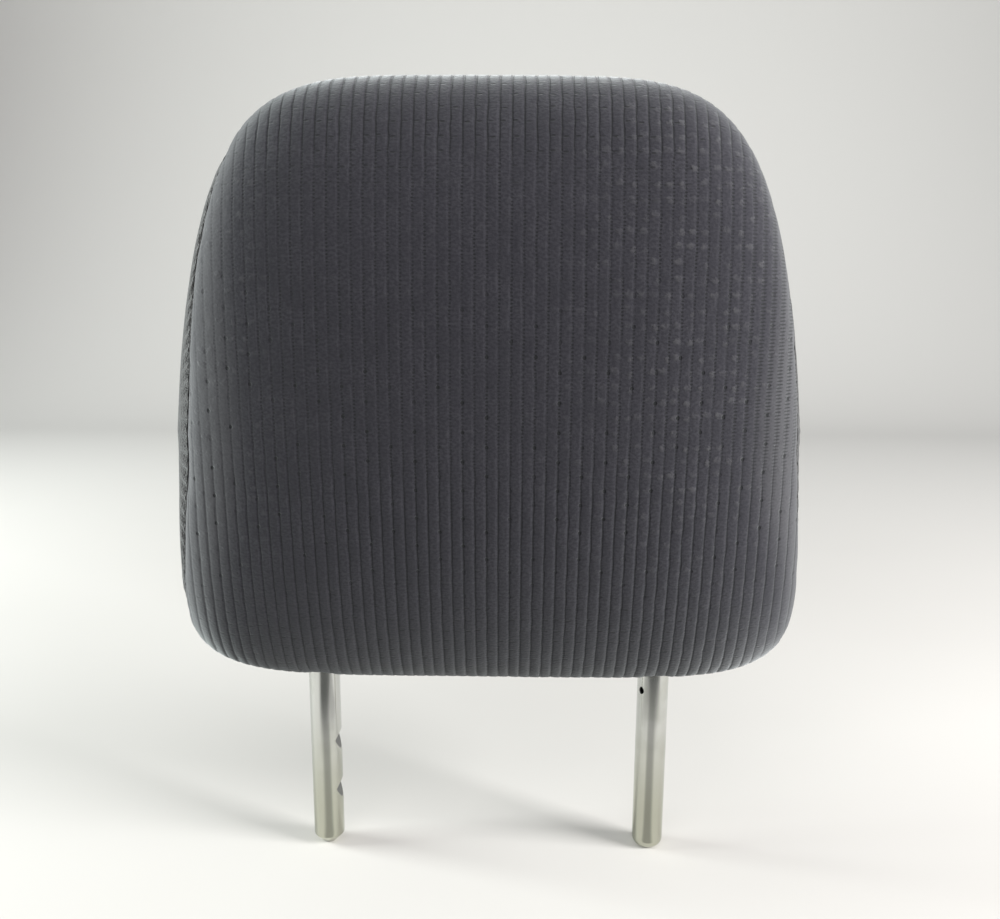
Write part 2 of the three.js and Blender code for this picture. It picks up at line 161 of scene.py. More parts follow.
def hand_over(piece, slot, *nodes):
    """Every piece rides on the one body and may stand for CAD nodes. The slot is not used."""
    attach(piece, "root")
    if nodes:
        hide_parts(*nodes)


# %% [markdown]
# ## Materials as recipes
# A Blender material is a graph of nodes. Written out node by node it is long and hard to read, so
# this small class gives each step a plain word. Patterns that follow the cloth read the piece's
# own weave attribute: ribs across, metres along the ribs, and metres from the nearest seam.

# %% A short way to write a material
WEAVE = "weave"
MIX_COLOURS = (6, 7)
MIX_RESULT = 2


def linear(red, green, blue):
    """A colour as a screen shows it, from 0 to 255, as the linear values that light adds up in."""
    shown = np.array([red, green, blue]) / 255
    low = shown / 12.92
    high = ((shown + 0.055) / 1.055) ** 2.4
    return (*np.where(shown <= 0.04045, low, high), 1.0)


class Recipe:
    """A material's graph. Each method adds a node or a few and returns what comes out of them."""

    def __init__(self, name):
        self.material = bpy.data.materials.new(name)
        self.material.use_nodes = True
        self.tree = self.material.node_tree
        self.shader = self.tree.nodes["Principled BSDF"]

    def put(self, socket, value):
        """Links a node's output to a socket, or writes a plain value into it."""
        if isinstance(value, bpy.types.NodeSocket):
            self.tree.links.new(value, socket)
        else:
            socket.default_value = value

    def node(self, kind, values=(), **settings):
        """Adds a node with its settings, and puts the values into its inputs."""
        made = self.tree.nodes.new(kind)
        for name, value in settings.items():
            setattr(made, name, value)
        for name, value in dict(values).items():
            self.put(made.inputs[name], value)
        return made

    def set(self, **values):
        """Puts values into the shader's inputs, whose spaces are written as underscores."""
        for name, value in values.items():
            self.put(self.shader.inputs[name.replace("_", " ")], value)

    def math(self, operation, *values):
        """One step of arithmetic."""
        return self.node("ShaderNodeMath", enumerate(values), operation=operation).outputs[0]

    def chain(self, operation, values):
        """The same step again and again, each time with the result so far and the next value."""
        result = values[0]
        for value in values[1:]:
            result = self.math(operation, result, value)
        return result

    def times(self, *values):
        """The product of all values."""
        return self.chain("MULTIPLY", values)

    def plus(self, *values):
        """The sum of all values."""
        return self.chain("ADD", values)

    def most(self, *values):
        """The largest of the values."""
        return self.chain("MAXIMUM", values)

    def less(self, value, other):
        """The value less another."""
        return self.math("SUBTRACT", value, other)

    def over(self, value, other):
        """The value divided by another."""
        return self.math("DIVIDE", value, other)

    def size(self, value):
        """The value without its sign."""
        return self.math("ABSOLUTE", value)

    def vector(self, operation, *values):
        """One step of arithmetic with vectors."""
        return self.node("ShaderNodeVectorMath", enumerate(values), operation=operation).outputs[0]

    def vector_of(self, *parts):
        """Up to three values as one vector."""
        return self.node("ShaderNodeCombineXYZ", enumerate(parts)).outputs[0]

    def parts(self, vector):
        """A vector's three values."""
        return self.node("ShaderNodeSeparateXYZ", {0: vector}).outputs

    def object_place(self):
        """Where a point lies in the piece's own frame, in metres."""
        return self.node("ShaderNodeTexCoord").outputs["Object"]

    def weave(self):
        """The weave attribute's three values."""
        return self.parts(self.node("ShaderNodeAttribute", attribute_name=WEAVE).outputs["Vector"])

    def fade(self, value, low, high, start=1.0, end=0.0):
        """A smooth step from start, where value is low, to end, where it is high."""
        inputs = {"Value": value, "From Min": low, "From Max": high, "To Min": start, "To Max": end}
        return self.node("ShaderNodeMapRange", inputs, interpolation_type="SMOOTHSTEP").outputs[0]

    def nearest(self, value):
        """The nearest whole number, and how far the value is past it."""
        whole = self.math("ROUND", value)
        return whole, self.less(value, whole)

    def chance(self, *cell):
        """A random number from 0 to 1 that is the same all over a cell."""
        return self.node("ShaderNodeTexWhiteNoise", {"Vector": self.vector_of(*cell)}).outputs["Value"]

    def spot(self, across, along, half_width, half_height):
        """1 in the middle of an ellipse and 0 outside it."""
        return self.fade(self.squares(self.over(across, half_width), self.over(along, half_height)), 0.2, 1.0)

    def squares(self, x, y):
        """x times x plus y times y."""
        return self.plus(self.times(x, x), self.times(y, y))

    def noise(self, place, scale, detail=2.0):
        """Soft noise from 0 to 1, whose grains are about 1 / scale wide in the place's own unit."""
        return self.node("ShaderNodeTexNoise", {"Vector": place, "Scale": scale, "Detail": detail}).outputs[0]

    def mix(self, first, second, share):
        """The first colour where the share is 0, and the second where it is 1."""
        made = self.node("ShaderNodeMix", {0: share}, data_type="RGBA")
        self.put(made.inputs[MIX_COLOURS[0]], first)
        self.put(made.inputs[MIX_COLOURS[1]], second)
        return made.outputs[MIX_RESULT]

    def relief(self, height, strength=1.0, distance=MM):
        """Bump from a height, which is in millimetres unless another distance is given."""
        values = {"Height": height, "Strength": strength, "Distance": distance}
        self.set(Normal=self.node("ShaderNodeBump", values).outputs[0])


# %% [markdown]
# ## The knit
# The cloth is a warp knit with flat ribs. Between two ribs runs a row of tiny holes, one for each
# row of stitches, which widen into ladders where the cloth is pulled sideways. Tucked stitches
# leave three kinds of mark: short dashes across the ribs, soft puffs beside the furrows, and pits
# in every second furrow, staggered like bricks. A photograph of the cloth would bring its own
# light along, so the pattern is worked out from the weave's own counts instead. The ribs are real
# geometry, and the recipe adds only marks that are less than a fifth of a millimetre deep.
# The dark of the furrows, holes, dashes and pits is painted shade, the light line along each rib's lip is a
# painted highlight, and the lighter band near each seam is a painted sheen.

# %% Sizes and colours of the knit
# Pitches are in metres. So are the pairs that end in IN, OUT, RIM, RIGHT, LEFT, FROM, BLUR or
# WITHIN: the two heights, x or distances from a seam between which a kind of mark fades in or out.
# The marks' own sizes, offsets and sway are in millimetres.
RIB_PITCH = 4.6 * MM
KNIT_ROW = 1.38 * MM
TUCK_PITCH = 5.85 * MM
MILLIMETRES = 1 / MM
HOLES_FADE_IN = (0.165, 0.215)
HOLES_FADE_OUT = (0.300, 0.322)
PITS_FADE_IN = (0.120, 0.160)
PITS_FADE_OUT = (0.225, 0.290)
UPPER_RIM = (0.285, 0.318)
LOWER_RIM = (0.115, 0.150)
PUFFS_FADE_IN = (0.120, 0.200)
PUFFS_RIGHT = (0.010, 0.080)
PUFFS_LEFT = (-0.110, -0.070)
LADDERS_FROM = (0.085, 0.118)
LEFT_BLUR = (-0.118, -0.080)
SEAM_SHEEN_WITHIN = (0.015, 0.036)
DASH_HALF_SIZE = (1.3, 0.5)
DASH_OFFSET = 0.9
DASH_WANDER = 0.9
PUFF_HALF_SIZE = (2.2, 1.6)
PUFF_OFFSET = 1.0
PUFF_WANDER = 2.2
PIT_HALF_SIZE = (0.95, 1.05)
HOLE_HALF_WIDTH = 0.66
HOLE_HALF_HEIGHT = 0.46
LADDER_HALF_WIDTH = 1.9
CREASE_EDGE = (0.1, 0.5)
LIP_OFFSET = 0.95
SWAY = 1.4
SWAYS_PER_METRE = 110.0
CLOSED_HOLES_PER_METRE = 45.0
KNIT_COLOUR = linear(37, 35, 43)
# Lighter where the fuzz rises, and a painted highlight along each rib's lip.
FUZZ_AND_HIGHLIGHT_COLOUR = linear(57, 55, 62)
# Lighter on the puffs, and a painted sheen near each seam.
PUFF_AND_SEAM_SHEEN_COLOUR = linear(92, 91, 93)
# Painted shade in the furrows, holes, dashes and pits, each darkened by its share below.
CREASE_SHADE_COLOUR = linear(15, 15, 18)
MARK_SHADE = {"line": 0.8, "dashes": 0.75, "pits": 0.95}
MARK_HEIGHTS = {"line": -0.08, "dashes": -0.06, "puffs": 0.12, "pits": -0.15, "fuzz": 0.045}
SHEEN = {"Sheen_Weight": 0.75, "Sheen_Roughness": 0.48, "Sheen_Tint": linear(226, 230, 230)}


# %% The marks in the knit
def yarn_noise(r, ribs, along, width, height):
    """Noise in the cloth's own directions, with grains of a width and height in millimetres."""
    across = r.times(ribs, RIB_PITCH * MILLIMETRES / width)
    up = r.times(along, MILLIMETRES / height)
    return r.fade(r.noise(r.vector_of(across, up), 0.7), 0.3, 0.7, 0.0, 1.0)


def tuck_cell(r, ribs, along, seed, wandering):
    """Millimetres across and along from the middle of the nearest tuck, which wanders in its
    cell, and a random number for the cell."""
    rib, side = r.nearest(r.less(ribs, 0.5))
    tuck, past = r.nearest(r.over(along, TUCK_PITCH))
    wander = r.times(r.less(r.chance(rib, tuck, seed + 0.5), 0.5), wandering)
    across = r.plus(r.times(side, RIB_PITCH * MILLIMETRES), wander)
    up = r.plus(r.times(past, TUCK_PITCH * MILLIMETRES), wander)
    return across, up, r.chance(rib, tuck, seed)


def tuck_dashes(r, ribs, along, height):
    """Short dark dashes across most ribs, strongest where the cloth turns over the rims."""
    across, up, luck = tuck_cell(r, ribs, along, 1.0, DASH_WANDER)
    rims = r.plus(r.fade(height, *UPPER_RIM, 0.2, 1.0), r.fade(height, *LOWER_RIM, 0.8, 0.0))
    dash = r.spot(r.plus(across, DASH_OFFSET), up, *DASH_HALF_SIZE)
    return r.times(dash, rims, r.fade(luck, 0.15, 0.7, 0.0, 1.0))


def tuck_puffs(r, ribs, along, x, height):
    """Soft raised spots beside the furrows, where the cloth is stretched towards the sides. Noise
    in the yarn's direction bends and breaks them."""
    across, up, luck = tuck_cell(r, ribs, along, 4.0, PUFF_WANDER)
    bent = r.less(yarn_noise(r, ribs, along, 1.7, 1.4), 0.5)
    half_width, half_height = PUFF_HALF_SIZE
    sides = r.plus(r.fade(x, *PUFFS_RIGHT, 0.2, 1.0), r.fade(x, *PUFFS_LEFT, 0.8, 0.0))
    sides = r.times(sides, r.fade(height, *PUFFS_FADE_IN, 0.25, 1.0))
    from_middle = r.squares(r.over(r.less(r.plus(across, bent), PUFF_OFFSET), half_width),
                            r.over(r.plus(up, bent), half_height))
    puff = r.times(r.fade(from_middle, 0.0, 1.0), r.plus(bent, 0.8))
    return r.times(puff, sides, r.fade(luck, 0.1, 0.8, 0.0, 1.0))


def furrow_pits(r, ribs, along, height):
    """Round pits in every second furrow, two tuck rows apart and staggered like bricks."""
    furrow, side = r.nearest(r.over(ribs, 2.0))
    stagger = r.times(r.math("PINGPONG", furrow, 1.0), 0.5)
    pit, past = r.nearest(r.plus(r.over(along, 2 * TUCK_PITCH), stagger))
    across = r.times(side, 2 * RIB_PITCH * MILLIMETRES)
    up = r.times(past, 2 * TUCK_PITCH * MILLIMETRES)
    share = r.times(r.fade(height, *PITS_FADE_IN, 0.2, 1.0), r.fade(height, *PITS_FADE_OUT, 1.0, 0.1))
    luck = r.fade(r.chance(furrow, pit, 3.0), 0.0, 0.6, 0.1, 1.0)
    return r.times(r.spot(across, up, *PIT_HALF_SIZE), share, luck)


def furrow_lines(r, ribs, along, x, height):
    """The furrow: a fine crease near the rims and a row of holes between them, some of them nearly
    closed. The holes widen into ladders at the right, and both sway and blur at the left. Also
    gives the millimetres from the furrow."""
    furrow, side = r.nearest(ribs)
    sway = r.noise(r.vector_of(furrow, r.times(along, SWAYS_PER_METRE)), 1.0)
    sway = r.times(r.less(sway, 0.5), SWAY)
    side = r.plus(r.times(side, RIB_PITCH * MILLIMETRES), sway)
    _, past = r.nearest(r.over(along, KNIT_ROW))
    from_row = r.times(past, KNIT_ROW * MILLIMETRES)
    half_width = r.fade(x, *LADDERS_FROM, HOLE_HALF_WIDTH, LADDER_HALF_WIDTH)
    hole = r.spot(side, from_row, half_width, HOLE_HALF_HEIGHT)
    openness = r.noise(r.vector_of(furrow, r.times(along, CLOSED_HOLES_PER_METRE)), 1.0)
    hole = r.times(hole, r.fade(openness, 0.32, 0.6, r.fade(x, *LADDERS_FROM, 0.35, 0.9), 1.0))
    crease = r.fade(r.size(side), *CREASE_EDGE)
    dotted = r.times(r.fade(height, *HOLES_FADE_IN, 0.2, 1.0), r.fade(height, *HOLES_FADE_OUT, 1.0, 0.0))
    line = r.mix(crease, r.most(hole, r.times(crease, 0.15)), dotted)
    return r.times(line, r.fade(x, *LEFT_BLUR, 0.35, 1.0)), side


# %% The ribbed knit of the centre panel
def ribbed_knit():
    """Dark yarn, lighter where its fuzz rises and where it puffs up, with a painted highlight along
    each rib's lip and a painted sheen near each seam. The marks are darkest of all: painted shade."""
    r = Recipe("ribbed_knit")
    ribs, along, from_seam = r.weave()
    place = r.object_place()
    x, _, height = r.parts(place)
    line, side = furrow_lines(r, ribs, along, x, height)
    marks = {
        "line": line,
        "dashes": tuck_dashes(r, ribs, along, height),
        "puffs": tuck_puffs(r, ribs, along, x, height),
        "pits": furrow_pits(r, ribs, along, height),
        "fuzz": yarn_noise(r, ribs, along, 1.0, 0.7),
    }
    # A painted highlight: a thin lighter line along the raised lip beside each furrow.
    lip_highlight = r.fade(r.size(r.plus(side, LIP_OFFSET)), *CREASE_EDGE)
    strands = yarn_noise(r, ribs, along, 0.8, 5.0)
    raised = r.plus(r.times(marks["fuzz"], 0.8), r.times(lip_highlight, strands, 0.7))
    raised = r.times(raised, r.fade(r.noise(place, 90.0), 0.3, 0.7, 0.6, 1.1))
    # A painted sheen: the knit is lighter within a few centimetres of each seam, where it turns to the sides.
    stretched = r.fade(from_seam, *SEAM_SHEEN_WITHIN, 0.5, 0.0)
    base = r.mix(KNIT_COLOUR, FUZZ_AND_HIGHLIGHT_COLOUR, raised)
    base = r.mix(base, PUFF_AND_SEAM_SHEEN_COLOUR, r.most(stretched, r.times(marks["puffs"], 0.32)))
    # Painted shade in the furrows, holes, dashes and pits.
    dark = r.most(*(r.times(marks[name], share) for name, share in MARK_SHADE.items()))
    r.set(Base_Color=r.mix(base, CREASE_SHADE_COLOUR, dark), Roughness=0.9, Specular_IOR_Level=0.2, **SHEEN)
    r.relief(r.plus(*(r.times(marks[name], share) for name, share in MARK_HEIGHTS.items())))
    return r.material


centre_knit = ribbed_knit()
print("ribbed knit:", len(centre_knit.node_tree.nodes), "nodes")

# %% [markdown]
# The side panels are cut from a plainer knit of the same yarn. It has no ribs, only fine columns
# of stitches, each a small V. Two slanting waves that meet in the middle of a column draw them.
# Along the seam each stitch pulls a short slanting fold, darkened with painted shade.

# %% The plain knit of the side panels
SIDE_WALE = 1.5 * MM
PULL_PITCH = 7 * MM
PULL_SLANT = 2.2 * MM
PULL_REACH = (1.2 * MM, 2.6 * MM)
SIDE_COLOUR = linear(66, 65, 66)
SIDE_RAISED_COLOUR = linear(88, 86, 85)


def side_knit():
    """Columns of stitches with a furrow between two of them, and a slanting fold beside the seam
    for every stitch of it. Furrows, gaps between loops and folds are darkened with painted shade."""
    r = Recipe("side_knit")
    across, along, from_seam = r.weave()
    place = r.object_place()
    _, side = r.nearest(r.over(across, SIDE_WALE))
    slope = r.size(side)
    _, past = r.nearest(r.plus(r.over(along, KNIT_ROW), slope))
    loop = r.fade(r.size(past), 0.1, 0.5)
    furrow = r.fade(slope, 0.34, 0.5, 0.0, 1.0)
    fibres = r.noise(place, 1100.0)
    base = r.mix(SIDE_COLOUR, SIDE_RAISED_COLOUR, r.fade(fibres, 0.3, 0.7, 0.3, 1.0))
    # Painted shade in the furrows, between the loops and, below, in the pulled folds.
    dark = r.most(r.times(furrow, 0.3), r.fade(loop, 0.0, 0.4, 0.25, 0.0))
    slanted = r.less(r.over(along, PULL_PITCH), r.over(from_seam, PULL_SLANT))
    _, past = r.nearest(slanted)
    pull = r.times(r.fade(r.size(past), 0.04, 0.14), r.fade(from_seam, *PULL_REACH))
    dark = r.most(dark, r.times(pull, 0.8))
    r.set(Base_Color=r.mix(base, CREASE_SHADE_COLOUR, dark), Roughness=0.9, Specular_IOR_Level=0.2, **SHEEN)
    r.relief(r.plus(
        r.times(loop, 0.14),
        r.times(furrow, -0.16),
        r.times(fibres, 0.16),
    ))
    return r.material


plain_knit = side_knit()
print("side knit:", len(plain_knit.node_tree.nodes), "nodes")

# %% [markdown]
# ## Metal, foam, plastic and thread
# The posts are drawn tube with bright zinc plating: nearly a mirror, but with fine lines along
# the draw, faint clouds in the plating and a slightly warm cast that deepens towards the tips.
# The milled notches are rougher and darkened with a painted reflection of shade. The wire inside
# is bare and duller. Foam, plastic and thread are hidden or nearly so, and still get their own grain.

# %% Recipes for the other finishes
POST_RADIUS = 7 * MM
POST_HALF_SPACING = 75 * MM
MILLED_WITHIN = (6.5 * MM, 6.9 * MM)
MILLED_ABOVE = (10 * MM, 12 * MM)
# The notches' facets are rougher, and darkened with a painted reflection of the shade under the cushion.
NOTCH_SHADE_COLOUR = linear(118, 119, 118)
MILLED_DULLNESS = 0.2
DULL_BELOW = (0.015, 0.075)


def drawn_metal(name, colour, dull_colour, tip_colour, roughness, line_depth, notch_shade_mask=None):
    """Steel with lines along Z, where it was drawn, clouds in its brightness and its plating duller
    towards the tips. The mask, if there is one, gives a share of rougher metal with painted shade."""
    r = Recipe(name)
    place = r.object_place()
    stretched = r.vector("MULTIPLY", place, (1.0, 1.0, 0.02))
    lines = r.noise(stretched, 2600.0, 3.0)
    clouds = r.noise(place, 70.0, 4.0)
    specks = r.fade(r.noise(place, 900.0), 0.70, 0.78, 0.0, 1.0)
    shine = r.fade(clouds, 0.35, 0.75, roughness, roughness * 1.7)
    base = r.mix(colour, dull_colour, r.fade(clouds, 0.45, 0.75, 0.0, 0.6))
    base = r.mix(base, dull_colour, specks)
    height = r.parts(place)[2]
    base = r.mix(base, tip_colour, r.fade(height, *DULL_BELOW))
    shine = r.plus(shine, r.times(lines, 0.06))
    if notch_shade_mask:
        share = notch_shade_mask(r, place)
        base = r.mix(base, NOTCH_SHADE_COLOUR, share)
        shine = r.plus(shine, r.times(share, MILLED_DULLNESS))
    r.set(Base_Color=base, Metallic=1.0, Roughness=shine)
    r.relief(r.times(lines, line_depth))
    return r.material


def milled_notches(r, place):
    """1 on the left post's milled faces, which lie nearer its axis than its round surface."""
    from_axis = r.vector("SUBTRACT", place, (-POST_HALF_SPACING, 0.0, 0.0))
    across = r.vector("MULTIPLY", from_axis, (1.0, 1.0, 0.0))
    distance = r.node("ShaderNodeVectorMath", {0: across}, operation="LENGTH").outputs[1]
    height = r.parts(place)[2]
    return r.times(r.fade(distance, *MILLED_WITHIN), r.fade(height, *MILLED_ABOVE, 0.0, 1.0))


def grained(name, colour, pit_colour, grain, roughness, depth):
    """A dull material with an even grain, whose pits are darker."""
    r = Recipe(name)
    place = r.object_place()
    cells = r.node("ShaderNodeTexVoronoi", {"Vector": place, "Scale": grain}).outputs["Distance"]
    pits = r.fade(cells, 0.1, 0.55)
    r.set(Base_Color=r.mix(colour, pit_colour, pits), Roughness=roughness)
    r.relief(r.times(pits, -depth))
    return r.material


plated_steel = drawn_metal("plated_steel", linear(206, 207, 204), linear(182, 184, 176),
                           linear(187, 188, 174), 0.13, 0.004, milled_notches)
bare_steel = drawn_metal("bare_steel", linear(140, 140, 142), linear(96, 94, 92),
                         linear(140, 140, 142), 0.34, 0.01)
moulded_foam = grained("moulded_foam", linear(217, 205, 166), linear(172, 155, 112), 1400.0, 0.95, 0.25)
strip_plastic = grained("strip_plastic", linear(34, 34, 36), linear(24, 24, 26), 2600.0, 0.5, 0.02)
thread = grained("thread", linear(78, 77, 78), linear(44, 43, 45), 3500.0, 0.8, 0.05)
print("five plain finishes made")

# %% [markdown]
# ## The cushion's form
# The cushion is moulded foam, so its form is a smooth closed one. From the side it is a rounded
# oblong: a superellipse, which is an ellipse whose power decides how square it is. From the front
# it is another one, narrower towards the top. One formula gives every point of the cushion from
# a turn round the oblong and a share of the way out to the side, and an inset moves it inwards.
# The sizes are those of the construction model.

# %% The cushion's formula
CUSHION_MIDDLE = 200 * MM
CUSHION_ABOVE = 141 * MM
CUSHION_BELOW = 114.7 * MM
CUSHION_FRONT = 43 * MM
CUSHION_BACK = 46 * MM
CUSHION_HALF_WIDTH = 130.8 * MM
TOP_NARROWING = 24.5 * MM
TOP_NARROWING_POWER = 1.1
BOTTOM_WIDENING = 13.1 * MM
FORWARD_LEAN = 0.06
SECTION_POWER_ABOVE = 2.8
SECTION_POWER_BELOW = 2.6
CORNER_POWER_FRONT = 3.3
CORNER_POWER_TOP = 5.08
CORNER_POWER_BOTTOM = 5.75
HALVINGS = 30


def signed_power(base, power):
    """The sign of a number times a power of its size."""
    return np.sign(base) * np.abs(base) ** power


def section(turn, inset):
    """The middle section at a turn: 0 is the top, a quarter the front and a half the underside.
    Gives the reach upwards and forwards, and the power of the superellipse towards the side."""
    is_above = np.cos(turn) > 0
    power = 2 / np.where(is_above, SECTION_POWER_ABOVE, SECTION_POWER_BELOW)
    up_share = signed_power(np.cos(turn), power)
    height = np.where(is_above, CUSHION_ABOVE, CUSHION_BELOW)
    depth = np.where(np.sin(turn) > 0, CUSHION_FRONT, CUSHION_BACK)
    forward = signed_power(np.sin(turn), power) * (depth - inset)
    corner_power = np.where(is_above, CORNER_POWER_TOP, CORNER_POWER_BOTTOM)
    side_power = CORNER_POWER_FRONT + (corner_power - CORNER_POWER_FRONT) * up_share ** 2
    return up_share * (height - inset), forward, side_power


def width_factor(z):
    """How much wider or narrower than at its middle the cushion is at a height."""
    above = np.maximum(z - CUSHION_MIDDLE, 0) / CUSHION_ABOVE
    below = np.maximum(CUSHION_MIDDLE - z, 0) / CUSHION_BELOW
    narrowing = TOP_NARROWING * above ** TOP_NARROWING_POWER
    return 1 + (BOTTOM_WIDENING * below ** 2 - narrowing) / CUSHION_HALF_WIDTH


def cushion_surface(turn, share, inset):
    """The point a share of the way from the middle plane to a side. The section shrinks to
    (1 - share ^ power) ^ (1 / power) of its size there, and the whole form leans forwards."""
    up, forward, power = section(turn, inset)
    reach = np.maximum(1 - np.abs(share) ** power, 0) ** (1 / power)
    z = CUSHION_MIDDLE + reach * up
    y = -reach * forward - FORWARD_LEAN * (z - CUSHION_MIDDLE)
    x = share * (CUSHION_HALF_WIDTH - inset) * width_factor(z)
    return np.stack(np.broadcast_arrays(x, y, z), axis=-1)


def share_at_x(turn, x):
    """The share at which the cushion reaches an x. Because x grows with the share all the way,
    each round halves the range and keeps the half in which the x lies."""
    low = np.full(np.broadcast(turn, x).shape, -1.0)
    high = -low
    for _ in range(HALVINGS):
        share = (low + high) / 2
        falls_short = cushion_surface(turn, share, 0.0)[..., 0] < x
        low = np.where(falls_short, share, low)
        high = np.where(falls_short, high, share)
    return (low + high) / 2


print("cushion:", np.round(cushion_surface(0.0, 0.0, 0.0) / MM, 1), "mm is its highest point")

# %% [markdown]
# ## Seams, hems and rows
# Each side panel meets the centre panel in a seam that, seen from the side, is an oblong of its
# own. The centre panel starts at a hem on the underside, runs up the back, over the top and down
# the front to a second hem. Rows of points cross it at even steps along that way.

# %% Where the panels meet
COVER_THICKNESS = 3 * MM
SEAM_DIP = 0.45 * MM
LEFT_SEAM = {"half_depth": 24.5 * MM, "above": 118 * MM, "below": 88 * MM}
RIGHT_SEAM = {"half_depth": 17 * MM, "above": 112 * MM, "below": 84 * MM}
HEM_GAP = 1.8 * MM
CENTRE_ROW_STEP = 2.34 * MM
LOOKUP_STEPS = 6000


def seam_share(turn, seam):
    """The share at which a panel's seam crosses a turn."""
    up, forward, power = section(turn, 0.0)
    section_power = np.where(up > 0, SECTION_POWER_ABOVE, SECTION_POWER_BELOW)
    height = np.where(up > 0, seam["above"], seam["below"])
    size = (np.abs(up) / height) ** section_power
    size = size + (np.abs(forward) / seam["half_depth"]) ** section_power
    reach = size ** (-1 / section_power)
    return (1 - reach ** power) ** (1 / power)


def underside_turn(y):
    """The turn of the underside's point that lies at a given y."""
    forward = FORWARD_LEAN * CUSHION_BELOW - y
    depth = CUSHION_FRONT if forward > 0 else CUSHION_BACK
    sine = (abs(forward) / depth) ** (SECTION_POWER_BELOW / 2)
    return math.pi - math.copysign(math.asin(sine), forward)


def even_turns(first, last, step):
    """Turns whose points on the middle section are an even step apart."""
    turns = np.linspace(first, last, LOOKUP_STEPS)
    points = cushion_surface(turns, 0.0, 0.0)
    along = np.concatenate([[0], np.cumsum(np.linalg.norm(np.diff(points, axis=0), axis=1))])
    count = round(along[-1] / step)
    return np.interp(np.linspace(0, along[-1], count + 1), along, turns)


back_hem_turn = underside_turn(HEM_GAP / 2)
front_hem_turn = underside_turn(-HEM_GAP / 2) + 2 * math.pi
centre_turns = even_turns(back_hem_turn, front_hem_turn, CENTRE_ROW_STEP)
print("centre panel:", len(centre_turns), "rows from hem to hem")

# %% [markdown]
# ## How the cover is pulled tight
# The cover is cut slightly small, and the foam swells it out wherever it isn't sewn down, so the
# panels crown between their seams. Blender's Cloth works that out: a coarse copy of the cushion
# starts a little too small, is pinned along its seams and hems, and is blown up from inside for a
# few frames. How far each point moved is kept as a field, to which the loft of the cover's own
# padding is added where it isn't sewn down, and every fine surface below adds that field.
# Ribs and seams would be lost in a simulated mesh, and this way they stay sharp.

# %% Coarse cloth and its swelling
START_INSET = 0.3 * MM
SWELL_CAP = 1.6 * MM
COVER_LOFT = 1.2 * MM
CLOTH_ROWS = 132
CLOTH_COLUMNS = 56
CLOTH_FRAMES = 20
CLOTH_PRESSURE = 4.0
SEWN_WITHIN = 4 * MM


def share_of_angle(turn, angle):
    """The share at an angle, which spreads the columns evenly round a superellipse."""
    _, _, power = section(turn, 0.0)
    return signed_power(np.sin(angle), 2 / power)


def angle_of_share(turn, share):
    """The angle at which a share lies: share_of_angle the other way round."""
    _, _, power = section(turn, 0.0)
    return np.arcsin(np.clip(signed_power(share, power / 2), -1, 1))


def coarse_cloth():
    """A closed grid of turns and angles, with one point at each side, and what is sewn of it."""
    turn = np.linspace(0, 2 * math.pi, CLOTH_ROWS, endpoint=False)[:, None]
    angle = np.linspace(-math.pi / 2, math.pi / 2, CLOTH_COLUMNS)[None, 1:-1]
    share = share_of_angle(turn, angle)
    grid = cushion_surface(turn, share, START_INSET)
    poles = cushion_surface(0.0, np.array([-1.0, 1.0]), START_INSET)
    outer = np.concatenate([cushion_surface(turn, share, 0.0).reshape(-1, 3),
                            cushion_surface(0.0, np.array([-1.0, 1.0]), 0.0)])
    sewn = (np.abs(grid[..., 1]) < SEWN_WITHIN) & (grid[..., 2] < CUSHION_MIDDLE)
    for side, seam in ((-1, LEFT_SEAM), (1, RIGHT_SEAM)):
        line = cushion_surface(turn, side * seam_share(turn, seam), START_INSET)
        sewn |= np.linalg.norm(grid - line, axis=-1) < SEWN_WITHIN
    index = np.arange(sewn.size).reshape(sewn.shape)
    loop = np.concatenate([index, index[:1]])
    left, right = np.full(CLOTH_ROWS, sewn.size), np.full(CLOTH_ROWS, sewn.size + 1)
    faces = [
        np.stack([loop[:-1, :-1], loop[1:, :-1], loop[1:, 1:], loop[:-1, 1:]], axis=-1).reshape(-1, 4),
        np.stack([left, loop[1:, 0], loop[:-1, 0]], axis=-1),
        np.stack([loop[:-1, -1], loop[1:, -1], right], axis=-1),
    ]
    return np.concatenate([grid.reshape(-1, 3), poles]), outer, faces, np.flatnonzero(sewn)


def blow_up(cover, sewn):
    """Runs Cloth on the cover, pinned where it is sewn, and gives its points afterwards."""
    cover.vertex_groups.new(name="sewn").add(sewn.tolist(), 1.0, "REPLACE")
    cloth = cover.modifiers.new("cover_cloth", "CLOTH")
    cloth.settings.vertex_group_mass = "sewn"
    cloth.settings.use_pressure = True
    cloth.settings.uniform_pressure_force = CLOTH_PRESSURE
    cloth.settings.effector_weights.gravity = 0
    cloth.collision_settings.use_collision = False
    cloth.point_cache.frame_end = CLOTH_FRAMES
    for frame_number in range(1, CLOTH_FRAMES + 1):
        bpy.context.scene.frame_set(frame_number)
    done = cover.evaluated_get(bpy.context.evaluated_depsgraph_get()).data
    points = np.zeros(len(done.vertices) * 3)
    done.vertices.foreach_get("co", points)
    bpy.context.scene.frame_set(1)
    return points.reshape(-1, 3)


def evened(field):
    """Each value averaged with its neighbours, twice as heavy as they are, both ways."""
    padded = np.concatenate([field[-1:], field, field[:1]])
    field = (padded[:-2] + 2 * padded[1:-1] + padded[2:]) / 4
    padded = np.concatenate([field[:, :1], field, field[:, -1:]], axis=1)
    return (padded[:, :-2] + 2 * padded[:, 1:-1] + padded[:, 2:]) / 4


